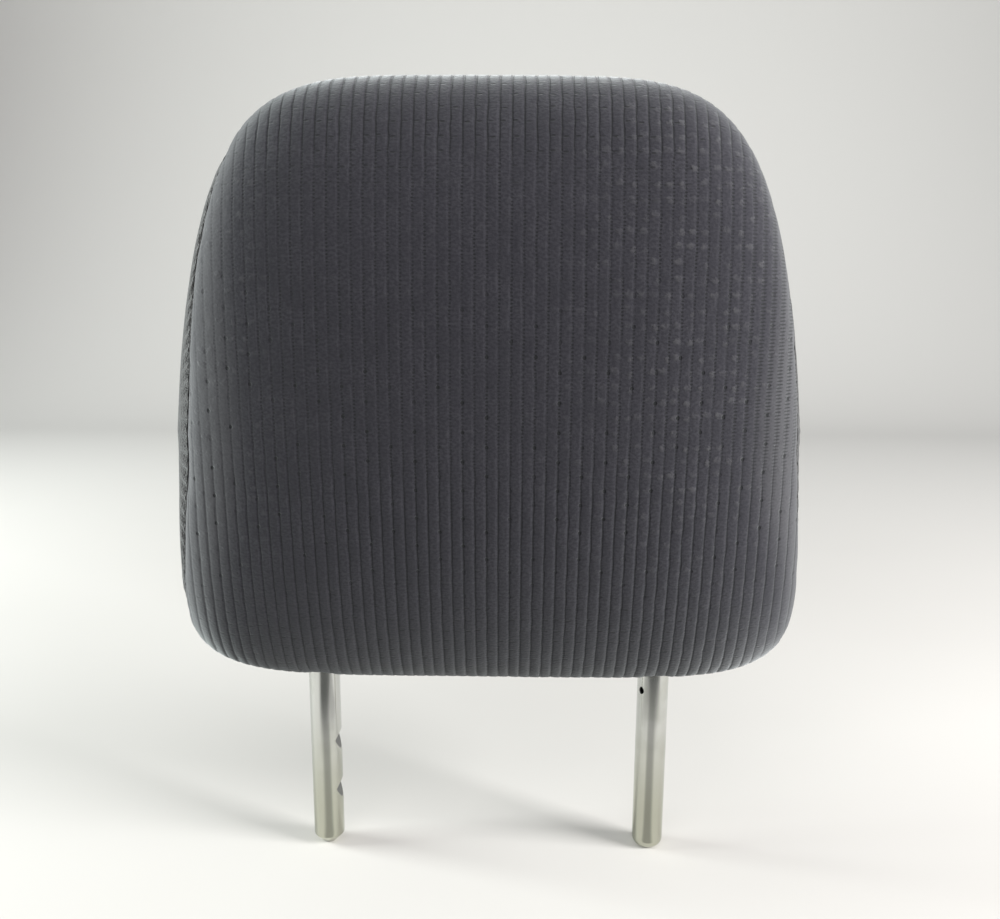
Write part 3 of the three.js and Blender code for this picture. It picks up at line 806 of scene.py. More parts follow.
def as_grid(field):
    """Values for the coarse cloth's points as rows and columns, with the poles at both ends."""
    inner = field[:-2].reshape(CLOTH_ROWS, CLOTH_COLUMNS - 2)
    poles = np.tile(field[-2:], (CLOTH_ROWS, 1))
    grid = evened(np.concatenate([poles[:, :1], inner, poles[:, 1:]], axis=1))
    grid[:, [0, -1]] = grid[:, [0, -1]].mean(axis=0)
    return grid


def swelling():
    """How far out each point of the coarse cloth moved, softly held below the cap, plus the loft
    of the cover's own padding, which is pressed flat where it is sewn."""
    start, outer, faces, sewn = coarse_cloth()
    loft = np.full(len(start), COVER_LOFT)
    loft[sewn] = 0
    mesh = bpy.data.meshes.new("coarse_cloth")
    mesh.from_pydata(start, [], [face for part in faces for face in part.tolist()])
    cover = bpy.data.objects.new("coarse_cloth", mesh)
    bpy.context.scene.collection.objects.link(cover)
    moved = blow_up(cover, sewn) - start
    bpy.data.objects.remove(cover)
    bpy.data.meshes.remove(mesh)
    out = outer - start
    out /= np.linalg.norm(out, axis=1, keepdims=True)
    distance = np.einsum("ij,ij->i", moved, out)
    print("cloth moved out by up to", round(distance.max() / MM, 2), "mm")
    return as_grid(loft + SWELL_CAP * np.tanh(np.maximum(distance, 0) / SWELL_CAP))


swell_grid = swelling()


def cover_inset(turn, share):
    """The inset that the swelling leaves: the start's, less the field between its four nearest
    grid points."""
    row = np.mod(turn, 2 * math.pi) / (2 * math.pi) * CLOTH_ROWS
    column = (angle_of_share(turn, share) / math.pi + 0.5) * (CLOTH_COLUMNS - 1)
    row, column = np.broadcast_arrays(row, column)
    i = np.floor(row).astype(int)
    j = np.minimum(np.floor(column).astype(int), CLOTH_COLUMNS - 2)
    past_row, past_column = row - i, column - j
    low = swell_grid[i % CLOTH_ROWS, j] * (1 - past_column)
    low = low + swell_grid[i % CLOTH_ROWS, j + 1] * past_column
    high = swell_grid[(i + 1) % CLOTH_ROWS, j] * (1 - past_column)
    high = high + swell_grid[(i + 1) % CLOTH_ROWS, j + 1] * past_column
    return START_INSET - (low * (1 - past_row) + high * past_row)


# %% [markdown]
# ## The centre panel
# Ribs lie at even steps of x, with a narrow furrow between two of them. Six columns of points for
# each rib are enough: three in the furrow, two on the rib's shoulders and one on its crown. The
# furrow depth, the dip at the seams, the small quilting dimples and a slight unevenness of the
# foam add up to one inset for each point, so the surface is evaluated once.

# %% The relief of the ribs
# Each column of a rib: millimetres from the furrow, and millimetres below the crown.
RIB_PROFILE = ((-1.1, -0.02), (-0.5, 0.06), (0.0, 0.20), (0.5, 0.09), (1.2, 0.02), (2.4, 0.0))
FURROW_FADE = 2.5 * MM
SEAM_ROUNDING = 2.2 * MM
FURROW_SHARE_AT_HOLES = 0.3
DIMPLE_DEPTH = 0.2 * MM
DIMPLE_RADIUS = 2.2 * MM
UNEVENNESS = 0.16 * MM
RANDOM_SEED = 7


def rib_columns():
    """The x and the depth below the crown of every column, for all ribs of the panel."""
    count = math.ceil((CUSHION_HALF_WIDTH + BOTTOM_WIDENING) / RIB_PITCH)
    ribs = np.arange(-count, count + 1)[:, None]
    offset, depth = np.array(RIB_PROFILE).T * MM
    x = ribs * RIB_PITCH + offset
    return x.ravel(), np.broadcast_to(depth, x.shape).ravel()


def smooth_bump(distance, radius):
    """1 at a distance of 0, falling off like a bell with the given radius."""
    return np.exp(-(distance / radius) ** 2)


def dimples(ribs, along):
    """Shallow dimples around the pits of every second furrow, each with its own depth."""
    furrow = np.round(ribs / 2)
    stagger = 0.5 * np.mod(furrow, 2)
    pit = np.round(along / (2 * TUCK_PITCH) + stagger)
    across = (ribs - 2 * furrow) * RIB_PITCH
    up = along - (pit - stagger) * 2 * TUCK_PITCH
    own = 0.5 + 0.5 * np.sin(12.9898 * furrow + 78.233 * pit)
    return own * smooth_bump(np.hypot(across, up), DIMPLE_RADIUS)


def unevenness(points):
    """A few long waves in different directions, added up and scaled to reach from -1 to 1."""
    chosen = np.random.default_rng(RANDOM_SEED)
    waves = chosen.normal(0, 110, (9, 3))
    phases = chosen.uniform(0, 2 * math.pi, 9)
    return np.sin(points @ waves.T + phases).sum(axis=-1) / 9


# %% The grid of the centre panel
POST_EXIT_ROOM = 0.3 * MM
EXIT_REACH = 20 * MM
INNER_ROW_SKIP = 5
INNER_COLUMN_STEP = 2.3 * MM


def along_columns(points, start_row):
    """Metres along each column, counted from one row."""
    steps = np.linalg.norm(np.diff(points, axis=0), axis=2)
    along = np.concatenate([np.zeros((1, points.shape[1])), np.cumsum(steps, axis=0)])
    return along - along[start_row]


def underside_rise(y):
    """How far the underside of the middle section lies above the cushion's lowest level."""
    forward = FORWARD_LEAN * CUSHION_BELOW - y
    depth = np.where(forward > 0, CUSHION_FRONT, CUSHION_BACK)
    share = np.minimum(np.abs(forward) / depth, 1)
    return CUSHION_BELOW * (1 - (1 - share ** SECTION_POWER_BELOW) ** (1 / SECTION_POWER_BELOW))


def open_post_exits(points):
    """Moves the hems' points round the posts. Near a post, a point's distance from the line
    between the hems is stretched so that the hem itself lies on the exit's circle."""
    moved = points.copy()
    for side in (-1, 1):
        radius = POST_RADIUS + POST_EXIT_ROOM
        from_post = moved[..., 0] - side * POST_HALF_SPACING
        y = moved[..., 1].copy()
        half_opening = np.sqrt(np.maximum(radius ** 2 - from_post ** 2, (HEM_GAP / 2) ** 2))
        is_near = (moved[..., 2] < CUSHION_MIDDLE) & (np.abs(y) < EXIT_REACH)
        is_near &= np.abs(from_post) < radius
        share = (np.abs(y) - HEM_GAP / 2) / (EXIT_REACH - HEM_GAP / 2)
        new_y = np.sign(y) * (half_opening + share * (EXIT_REACH - half_opening))
        moved[..., 1] = np.where(is_near, new_y, y)
        moved[..., 2] += np.where(is_near, underside_rise(new_y) - underside_rise(y), 0)
    return moved


def smooth_step(value, low, high):
    """0 below low, 1 above high, and a smooth rise between them."""
    share = np.clip((value - low) / (high - low), 0, 1)
    return share * share * (3 - 2 * share)


def furrow_share(points):
    """Furrows are shallower on the front where their rows of holes show."""
    height = points[..., 2]
    holes = smooth_step(height, *HOLES_FADE_IN) * (1 - smooth_step(height, *HOLES_FADE_OUT))
    return 1 - (1 - FURROW_SHARE_AT_HOLES) * holes


def centre_panel_grid():
    """The outer face: a point for each row and column, and its weave."""
    x, furrow_depth = rib_columns()
    turn = centre_turns[:, None]
    left = -seam_share(turn, LEFT_SEAM)
    right = seam_share(turn, RIGHT_SEAM)
    free_share = share_at_x(turn, x[None, :])
    start_row = int(np.argmin(np.abs(centre_turns - 2.5 * math.pi)))
    free_along = along_columns(cushion_surface(turn, free_share, 0.0), start_row)
    share = np.clip(free_share, left, right)
    middle = share.shape[1] // 2
    kept = np.where(free_share == share, np.arange(share.shape[1]), middle)
    first = np.where(free_share < left, kept.min(axis=1, keepdims=True), np.arange(share.shape[1]))
    nearest_kept = np.where(free_share > right, kept.max(axis=1, keepdims=True), first)
    along = np.take_along_axis(free_along, nearest_kept, axis=1)
    plain = cushion_surface(turn, share, 0.0)
    from_left = np.linalg.norm(plain - cushion_surface(turn, left, 0.0), axis=-1)
    from_right = np.linalg.norm(plain - cushion_surface(turn, right, 0.0), axis=-1)
    from_seam = np.minimum(from_left, from_right)
    ribs = plain[..., 0] / RIB_PITCH
    fade = np.clip(from_seam / FURROW_FADE, 0, 1)
    inset = (cover_inset(turn, share)
             + furrow_depth * fade * furrow_share(plain)
             + SEAM_DIP * smooth_bump(from_seam, SEAM_ROUNDING)
             + DIMPLE_DEPTH * fade * dimples(ribs, along)
             + UNEVENNESS * fade * unevenness(plain))
    points = open_post_exits(cushion_surface(turn, share, inset))
    return points, np.stack([ribs, along, from_seam], axis=-1)


def centre_panel():
    """Outer face, inner face and the rims between them: one closed shell of cloth."""
    outer, weave = centre_panel_grid()
    rows, columns = outer.shape[:2]
    inner_rows = np.unique(np.append(np.arange(0, rows, INNER_ROW_SKIP), rows - 1))
    turn = centre_turns[inner_rows][:, None]
    half = math.ceil(CUSHION_HALF_WIDTH / INNER_COLUMN_STEP)
    inner_x = np.arange(-half, half + 1) * INNER_COLUMN_STEP
    share = np.clip(share_at_x(turn, inner_x[None, :]),
                    -seam_share(turn, LEFT_SEAM), seam_share(turn, RIGHT_SEAM))
    inner = open_post_exits(cushion_surface(turn, share, COVER_THICKNESS))
    start = rows * columns
    index = np.arange(start).reshape(rows, columns)
    inner_index = start + np.arange(inner.shape[0] * inner.shape[1]).reshape(inner.shape[:2])
    all_rows = np.arange(rows)
    faces = [
        grid_faces(rows, columns),
        grid_faces(*inner.shape[:2], start=start, inside=True),
        zip_faces(inner_index[:, 0], inner_rows, index[:, 0], all_rows),
        zip_faces(index[:, -1], all_rows, inner_index[:, -1], inner_rows),
        zip_faces(inner_index[0], inner[0, :, 0], index[0], outer[0, :, 0]),
        zip_faces(index[-1], outer[-1, :, 0], inner_index[-1], inner[-1, :, 0]),
    ]
    faces[2:] = [part[:, ::-1] for part in faces[2:]]
    points = np.concatenate([outer.reshape(-1, 3), inner.reshape(-1, 3)])
    inner_weave = np.stack([inner[..., 0] / RIB_PITCH, inner[..., 2], inner[..., 1]], axis=-1)
    weave = np.concatenate([weave.reshape(-1, 3), inner_weave.reshape(-1, 3)])
    return new_piece("cover_centre_panel_knit", points, faces, centre_knit, weave)


cover_centre = centre_panel()
hand_over(cover_centre, "ribbed_knit", "cover_centre_panel")

# %% [markdown]
# ## The side panels
# A side panel is a shallow dome: rows go round its rim, and columns run in to its outermost
# point. Its sewn edge is gathered slightly, so between stitches it puckers, and those puckers are
# what makes the seam look like a fine rope from the front.

# %% Side panels with a puckered edge
SIDE_ROW_STEP = 1.0 * MM
SIDE_COLUMNS = 18
PUCKER_PITCH = 7 * MM
PUCKER_DEPTH = 0.55 * MM
PUCKER_REACH = 4 * MM
HALF_SEAM_GAP = 0.15 * MM


def side_shares(turn, seam, side, columns):
    """Shares from the seam to the outermost point. The section's reach falls off evenly."""
    _, _, power = section(turn, 0.0)
    edge = seam_share(turn, seam) + HALF_SEAM_GAP / CUSHION_HALF_WIDTH
    reach = (1 - edge ** power) ** (1 / power) * np.linspace(1, 0, columns)[None, :]
    return side * (1 - reach ** power) ** (1 / power)


def side_panel(name, side, seam):
    """The dome, less a dip along the seam and a cosine of one wave per stitch that dies out away
    from it, and closed by an inner face and a wall along the seam."""
    turns = even_turns(back_hem_turn, back_hem_turn + 2 * math.pi, SIDE_ROW_STEP)
    turns = turns[:, None]
    share = side_shares(turns, seam, side, SIDE_COLUMNS)
    plain = cushion_surface(turns, share, 0.0)
    from_seam = np.linalg.norm(plain - plain[:, :1], axis=-1)
    rim_steps = np.linalg.norm(np.diff(plain[:, 0], axis=0), axis=1)
    rim = np.concatenate([[0], np.cumsum(rim_steps)])
    puckers = round(rim[-1] / PUCKER_PITCH)
    wave = np.cos(2 * math.pi * puckers * rim / rim[-1])[:, None]
    inset = (cover_inset(turns, share)
             + SEAM_DIP * smooth_bump(from_seam, SEAM_ROUNDING)
             + PUCKER_DEPTH * wave * smooth_bump(from_seam, PUCKER_REACH)
             + UNEVENNESS * unevenness(plain) * (1 - smooth_bump(from_seam, SEAM_ROUNDING)))
    outer = cushion_surface(turns, share, inset)
    inner = cushion_surface(turns, share, COVER_THICKNESS)
    rows, columns = outer.shape[:2]
    wall = np.stack([inner[:, 0], outer[:, 0]], axis=1)
    turned = side < 0
    points = np.concatenate([outer.reshape(-1, 3), inner.reshape(-1, 3), wall.reshape(-1, 3)])
    faces = [
        grid_faces(rows, columns, inside=turned),
        grid_faces(rows, columns, start=rows * columns, inside=not turned),
        grid_faces(rows, 2, start=2 * rows * columns, inside=turned),
    ]
    weave = np.stack([plain[..., 1], plain[..., 2], from_seam], axis=-1).reshape(-1, 3)
    wall_weave = np.stack([wall[..., 1], wall[..., 2], wall[..., 0]], axis=-1).reshape(-1, 3)
    weave = np.concatenate([weave, weave, wall_weave])
    piece = new_piece(name, points, faces, plain_knit, weave)
    return piece


for side_name, side, seam in (("left", -1, LEFT_SEAM), ("right", 1, RIGHT_SEAM)):
    panel = side_panel(f"cover_{side_name}_side_knit", side, seam)
    hand_over(panel, "side_knit", f"cover_{side_name}_side_panel")

# %% [markdown]
# ## The tube frame
# Both posts are ends of one tube. A round bar is a row of rings along a path, and each ring is a
# circle across the path's direction. The tips are rings of changing radius, and where the posts
# are plain the rings are far apart.

# %% Rings along a path
ACROSS = np.array([0.0, 1.0, 0.0])
FRAME_TOP = 290 * MM
FRAME_BEND_RADIUS = 30 * MM
TUBE_WALL = 2.8 * MM
TIP_WALL = 6 * MM
BEND_STEPS = 20


def rings(path, sides):
    """The grid of a bar: each row is a ring, centre + radius * (cos * outward + sin * across),
    where outward stands at right angles to the path and to Y."""
    centre, direction, radius = path
    turn = np.linspace(0, 2 * math.pi, sides + 1)[None, :, None]
    outward = np.cross(direction, ACROSS)[:, None, :]
    ring = np.cos(turn) * outward + np.sin(turn) * ACROSS
    return centre[:, None, :] + radius[:, None, None] * ring


def bend(centre_x, centre_y, centre_z, bend_radius, from_turn, to_turn, radius):
    """A round bend in a plane of constant Y: centres, directions and radii."""
    turn = np.linspace(from_turn, to_turn, BEND_STEPS + 1)
    outward = np.stack([np.cos(turn), 0 * turn, np.sin(turn)], axis=1)
    direction = np.stack([np.sin(turn), 0 * turn, -np.cos(turn)], axis=1)
    centre = np.array([centre_x, centre_y, centre_z]) + bend_radius * outward
    return centre, direction, np.full(len(turn), radius)


def joined(*parts):
    """Paths end to end as one path."""
    return tuple(np.concatenate(columns) for columns in zip(*parts))


def leg(side, stations, radii):
    """A straight post from its tip upwards. The right one runs downwards, so it is turned round."""
    stations, radii = np.asarray(stations), np.asarray(radii)
    centre = np.stack([np.full(len(stations), side * POST_HALF_SPACING), 0 * stations, stations], axis=1)
    direction = np.tile([0.0, 0.0, -float(side)], (len(stations), 1))
    if side < 0:
        return centre, direction, radii
    return centre[::-1], direction[::-1], radii[::-1]


def frame_path(radius, left_end, right_end):
    """Up the left post, across the top and down the right post."""
    bend_x = POST_HALF_SPACING - FRAME_BEND_RADIUS
    bend_z = FRAME_TOP - FRAME_BEND_RADIUS
    return joined(
        leg(-1, *left_end),
        bend(-bend_x, 0, bend_z, FRAME_BEND_RADIUS, math.pi, math.pi / 2, radius),
        bend(bend_x, 0, bend_z, FRAME_BEND_RADIUS, math.pi / 2, 0, radius),
        leg(1, *right_end),
    )


# %% [markdown]
# The left tip is a blunt cone, turned on a lathe, and the right one is rounded, with a centre
# dimple from the lathe's tailstock. On the left post two locking notches are milled into the
# inner side. A notch is a V that is steeper above than below, and its edges are slightly rounded,
# so it is made by holding the ring's points back with a smooth minimum instead of by a sharp cut.

# %% Tips, notches and vent hole
CONE_TIP_FLAT_RADIUS = 2.8 * MM
CONE_TIP_LENGTH = 4.5 * MM
EDGE_ROUNDING = 0.5 * MM
ROUND_TIP_RADIUS = 4.3 * MM
DIMPLE_MOUTH = 0.8 * MM
DIMPLE_FLOOR = 0.6 * MM
NOTCH_HEIGHTS = (28.5 * MM, 53 * MM)
NOTCH_DEPTH = 2.2 * MM
NOTCH_UPPER_FLANK = 4 * MM
NOTCH_LOWER_FLANK = 6.5 * MM
NOTCH_ROW_STEP = 0.35 * MM
NOTCH_EDGE_ROUNDING = 0.35 * MM
VENT_HEIGHT = 79.5 * MM
VENT_RADIUS = 1.4 * MM
VENT_LIP = 0.35 * MM
VENT_TURN = math.radians(54)
POST_SIDES = 112
BORE_SIDES = 40


def cone_tip():
    """Stations and radii of the blunt cone, with its two edges broken by small chamfers."""
    slope = (POST_RADIUS - CONE_TIP_FLAT_RADIUS) / CONE_TIP_LENGTH
    half = EDGE_ROUNDING / 2
    stations = [0, 0, 0.2 * half, half, CONE_TIP_LENGTH - half, CONE_TIP_LENGTH, CONE_TIP_LENGTH + half]
    radii = [0, CONE_TIP_FLAT_RADIUS - half, CONE_TIP_FLAT_RADIUS - 0.3 * half,
             CONE_TIP_FLAT_RADIUS + slope * half, POST_RADIUS - slope * half,
             POST_RADIUS - 0.25 * slope * half, POST_RADIUS]
    return stations, radii


def round_tip():
    """A dimple, a flat ring and a quarter circle up to the post's full radius."""
    turn = np.linspace(0, math.pi / 2, 12)
    stations = [DIMPLE_FLOOR, 0.5 * DIMPLE_FLOOR, 0, *(ROUND_TIP_RADIUS * (1 - np.cos(turn)))]
    radii = [0, 0.6 * DIMPLE_MOUTH, DIMPLE_MOUTH, *(POST_RADIUS - ROUND_TIP_RADIUS * (1 - np.sin(turn)))]
    return stations, radii


def notched_stretch():
    """Stations of the stretch that holds both notches, close enough to draw their flanks."""
    low = min(NOTCH_HEIGHTS) - NOTCH_LOWER_FLANK - 2 * NOTCH_EDGE_ROUNDING
    high = max(NOTCH_HEIGHTS) + NOTCH_UPPER_FLANK + 2 * NOTCH_EDGE_ROUNDING
    stations = np.arange(low, high, NOTCH_ROW_STEP)
    return stations, np.full(len(stations), POST_RADIUS)


def smooth_minimum(a, b, rounding):
    """The smaller of two values, with the corner where they meet rounded off."""
    share = np.clip(0.5 + 0.5 * (b - a) / rounding, 0, 1)
    return b + (a - b) * share - rounding * share * (1 - share)


def mill_notches(points):
    """Holds the inner side of the left post back to the V of each notch."""
    x, z = points[..., 0].copy(), points[..., 2]
    surface = -POST_HALF_SPACING + POST_RADIUS
    for height in NOTCH_HEIGHTS:
        above = (z - height) / NOTCH_UPPER_FLANK
        below = (height - z) / NOTCH_LOWER_FLANK
        limit = surface - NOTCH_DEPTH * (1 - np.maximum(above, below))
        is_near = (limit < surface + NOTCH_EDGE_ROUNDING) & (x < 0)
        x = np.where(is_near, smooth_minimum(x, limit, NOTCH_EDGE_ROUNDING), x)
    milled = points.copy()
    milled[..., 0] = x
    return milled


def blind_end(height, radius):
    """Stations and radii of a flat end."""
    return [height, height], [0, radius]


def frame_shell(radius, left_end, right_end, sides):
    """The grid of the whole frame's outside or bore, and its counts of rows and columns."""
    points = rings(frame_path(radius, left_end, right_end), sides)
    return points, points.shape[:2]


def vent_cutter():
    """A pin with a flared mouth, pointing into the right post."""
    outward = Vector((-math.sin(VENT_TURN), -math.cos(VENT_TURN), 0))
    mouth = POST_RADIUS - VENT_LIP
    stations = np.array([0, 0, mouth, POST_RADIUS, 1.5 * POST_RADIUS, 1.5 * POST_RADIUS])
    radii = np.array([0, VENT_RADIUS, VENT_RADIUS, VENT_RADIUS + VENT_LIP, VENT_RADIUS + VENT_LIP, 0])
    centre = np.stack([0 * stations, 0 * stations, stations], axis=1)
    direction = np.tile([0.0, 0.0, 1.0], (len(stations), 1))
    points = rings((centre, direction, radii), 24)
    turn = Vector((0, 0, 1)).rotation_difference(outward).to_matrix()
    points = points @ np.array(turn).T + np.array([POST_HALF_SPACING, 0, VENT_HEIGHT])
    return new_piece("vent_cutter", points, [grid_faces(*points.shape[:2])], plated_steel)


def tube_frame():
    """The outside and the bore as one closed shell, with the vent hole cut through."""
    left_tip, notched = cone_tip(), notched_stretch()
    left_end = [np.concatenate(parts) for parts in zip(left_tip, notched)]
    outer, size = frame_shell(POST_RADIUS, left_end, round_tip(), POST_SIDES)
    bore = POST_RADIUS - TUBE_WALL
    end = blind_end(TIP_WALL, bore)
    inner, inner_size = frame_shell(bore, end, end, BORE_SIDES)
    faces = [grid_faces(*size), grid_faces(*inner_size, start=size[0] * size[1], inside=True)]
    points = np.concatenate([mill_notches(outer).reshape(-1, 3), inner.reshape(-1, 3)])
    piece = new_piece("post_frame_tube", points, faces, plated_steel, sharp_angle=24)
    cut(piece, vent_cutter(), sharp_angle=24)
    return piece


hand_over(tube_frame(), "plated_steel", "post_frame")

# %% [markdown]
# ## Inside the cushion
# A closed loop of wire is welded across the front of both posts, and the foam is moulded round
# it all. Neither shows on a whole headrest, but both are real pieces: the wire gets its welds,
# and the foam gets the hollows that the tube, the wire and the closing strips lie in.

# %% Support wire with its welds
SEAT_GAP = 0.3 * MM
WIRE_RADIUS = 3 * MM
WIRE_HALF_WIDTH = 100 * MM
WIRE_BOTTOM = 132 * MM
WIRE_TOP = 228 * MM
WIRE_BEND_RADIUS = 20 * MM
BEAD_HALF_SIZE = (2.4 * MM, 0.9 * MM, 1.5 * MM)
BEAD_LIFT = 2.4 * MM


def wire_grid(radius, sides):
    """The closed loop: four round corners, joined by straight stretches."""
    x = WIRE_HALF_WIDTH - WIRE_BEND_RADIUS
    y = -(POST_RADIUS + SEAT_GAP + WIRE_RADIUS)
    low, high = WIRE_BOTTOM + WIRE_BEND_RADIUS, WIRE_TOP - WIRE_BEND_RADIUS
    corners = []
    for index, (corner_x, corner_z) in enumerate([(-x, high), (x, high), (x, low), (-x, low)]):
        start = math.pi - index * math.pi / 2
        corners.append(bend(corner_x, y, corner_z, WIRE_BEND_RADIUS, start, start - math.pi / 2, radius))
    grid = rings(joined(*corners), sides)
    return np.concatenate([grid, grid[:1]])


def weld_bead(x, z):
    """A flattened drop of weld beside the crossing of wire and post, clear of both."""
    turn = np.linspace(0, 2 * math.pi, 25)[None, :]
    rise = np.linspace(0, math.pi, 13)[:, None]
    ripple = 1 + 0.06 * np.sin(9 * turn) * np.sin(rise)
    unit = np.stack([np.sin(rise) * np.cos(turn) * ripple, np.sin(rise) * np.sin(turn) * ripple,
                     np.cos(rise) + 0 * turn], axis=-1)
    return unit * BEAD_HALF_SIZE + np.array([x, -(POST_RADIUS + 0.55 * WIRE_RADIUS), z])


def support_wire():
    """The loop and a drop of weld at each of its four crossings with the posts."""
    wire = wire_grid(WIRE_RADIUS, 28)
    beads = [weld_bead(side * POST_HALF_SPACING, level + lift * BEAD_LIFT)
             for side in (-1, 1) for level, lift in ((WIRE_BOTTOM, 1), (WIRE_TOP, -1))]
    faces = [grid_faces(*wire.shape[:2])]
    start = wire.shape[0] * wire.shape[1]
    for bead in beads:
        faces.append(grid_faces(*bead.shape[:2], start=start))
        start += bead.shape[0] * bead.shape[1]
    points = np.concatenate([part.reshape(-1, 3) for part in (wire, *beads)])
    return new_piece("support_wire_welded", points, faces, bare_steel)


hand_over(support_wire(), "bare_steel", "support_wire")

# %% Foam with its hollows
CHANNEL_ROOM = 0.5 * MM
FOAM_ROWS = 150
FOAM_COLUMNS = 90
FOAM_SKIN_WAVES = 0.25 * MM


def box_between(name, low, high):
    """A closed box, as a cutter."""
    x, y, z = ((low[axis], high[axis]) for axis in range(3))
    points = np.array([(a, b, c) for c in z for b in y for a in x])
    quads = np.array([(0, 2, 3, 1), (4, 5, 7, 6), (0, 1, 5, 4), (2, 6, 7, 3), (0, 4, 6, 2), (1, 3, 7, 5)])
    return new_piece(name, points, [quads], moulded_foam)


def foam_core():
    """The cushion's form inside the cover, slightly uneven, less the room for what lies in it."""
    inset = COVER_THICKNESS + SEAT_GAP
    turn = np.linspace(0, 2 * math.pi, FOAM_ROWS + 1)[:, None]
    angle = np.linspace(-math.pi / 2, math.pi / 2, FOAM_COLUMNS)[None, :]
    share = np.sin(angle)
    _, _, power = section(turn, 0.0)
    share = signed_power(share, 2 / power)
    plain = cushion_surface(turn, share, inset)
    points = cushion_surface(turn, share, inset + FOAM_SKIN_WAVES * (1 + unevenness(plain)))
    piece = new_piece("foam_core_moulded", points, [grid_faces(*points.shape[:2])], moulded_foam)
    recess = POST_RADIUS + SEAT_GAP
    end = blind_end(0, recess)
    tube, size = frame_shell(recess, end, end, 48)
    wire = wire_grid(WIRE_RADIUS + SEAT_GAP, 24)
    strip_low, strip_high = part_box("front_closing_strip")
    rear_low, rear_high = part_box("rear_closing_strip")
    room = Vector((CHANNEL_ROOM,) * 3)
    low = Vector(map(min, strip_low, rear_low)) - room
    high = Vector(map(max, strip_high, rear_high)) + room
    low.z = CUSHION_MIDDLE - CUSHION_BELOW
    cut(piece,
        new_piece("tube_cutter", tube, [grid_faces(*size)], moulded_foam),
        new_piece("wire_cutter", wire, [grid_faces(*wire.shape[:2])], moulded_foam),
        box_between("channel_cutter", low, high))
    return piece


foam = foam_core()
hand_over(foam, "moulded_foam", "foam_core")

# %% [markdown]
# ## The closing strips
# Two extruded plastic profiles are sewn to the hems and hook into each other through a slot on
# the underside. Their construction shape is right, so a merged copy of it only gets its edges
# broken by a small bevel.

# %% Closing strips with broken edges
STRIP_EDGE = 0.2 * MM


def bevelled_copy(node, name, material):
    """A merged copy of a construction piece, with a live bevel on its edges."""
    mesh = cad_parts[node].data.copy()
    mesh.name = name
    piece = bpy.data.objects.new(name, mesh)
    bpy.context.scene.collection.objects.link(piece)
    finish_mesh(mesh, 30)
    mesh.materials.clear()
    mesh.materials.append(material)
    step = piece.modifiers.new("edges", "BEVEL")
    step.width = STRIP_EDGE
    step.segments = 2
    step.limit_method = "ANGLE"
    print(f"{name}: {len(mesh.polygons)} faces before its bevel")
    return piece


for strip in ("front_closing_strip", "rear_closing_strip"):
    hand_over(bevelled_copy(strip, f"{strip}_profile", strip_plastic), "strip_plastic", strip)

# %% [markdown]
# ## Seam fold and hem stitches
# The side seams are sewn from inside, so no thread shows, only the turned edge of the side panel,
# which the stitches pull into a fine twisted roll. A thin tube of two twisted strands in the fold
# gives that. Along both hems a row of stitches holds the closing strips. Each stitch is the same
# small capsule, placed by arrays.

# %% Folds in the seams
SEAM_FOLD_RADIUS = 0.45 * MM
SEAM_FOLD_INSET = 0.62 * MM
SEAM_STITCH = 7 * MM
STRAND_DEPTH = 0.2
SEAM_FOLD_STEP = 0.6 * MM


def seam_fold(name, side, seam):
    """A closed tube along the seam. Its radius grows and shrinks twice round it, and that shape
    turns by half a turn in every stitch, as two twisted strands do."""
    turns = even_turns(0, 2 * math.pi, SEAM_FOLD_STEP)
    share = side * seam_share(turns, seam)
    line = cushion_surface(turns, share, SEAM_FOLD_INSET)
    outer = cushion_surface(turns, share, 0.0)
    direction = np.roll(line[:-1], -1, axis=0) - np.roll(line[:-1], 1, axis=0)
    direction = np.concatenate([direction, direction[:1]])
    direction /= np.linalg.norm(direction, axis=1, keepdims=True)
    out = outer - line
    out -= direction * np.einsum("ij,ij->i", out, direction)[:, None]
    out /= np.linalg.norm(out, axis=1, keepdims=True)
    across = np.cross(direction, out)
    along = np.concatenate([[0], np.cumsum(np.linalg.norm(np.diff(line, axis=0), axis=1))])
    stitches = round(along[-1] / SEAM_STITCH)
    turn = np.linspace(0, 2 * math.pi, 13)[None, :, None]
    twist = (2 * math.pi * stitches * along / along[-1])[:, None, None]
    radius = SEAM_FOLD_RADIUS * (1 + STRAND_DEPTH * np.cos(2 * turn - twist))
    ring = np.cos(turn) * out[:, None] + np.sin(turn) * across[:, None]
    points = line[:, None] + radius * ring
    weave = np.stack([points[..., 1], points[..., 2], np.zeros(points.shape[:2])], axis=-1)
    return new_piece(name, points, [grid_faces(*points.shape[:2], inside=True)], plain_knit, weave)


for side_name, side, seam in (("left", -1, LEFT_SEAM), ("right", 1, RIGHT_SEAM)):
    hand_over(seam_fold(f"{side_name}_seam_fold", side, seam), "side_knit")

# %% Stitches along the hems
HEM_STITCH = 3.2 * MM
HEM_STITCH_PITCH = 4.2 * MM
HEM_STITCH_INSET = 4.5 * MM
HEM_THREAD_RADIUS = 0.28 * MM
HEM_STITCH_PROUD = 0.1 * MM


def capsule(length, radius):
    """A stitch: a stretched ball that lies along X."""
    turn = np.linspace(0, 2 * math.pi, 9)[None, :]
    angle = np.linspace(0, math.pi, 7)[:, None]
    x = -np.cos(angle) * length / 2 + 0 * turn
    girth = np.sin(angle) * radius
    return np.stack([x, girth * np.cos(turn), girth * np.sin(turn)], axis=-1)


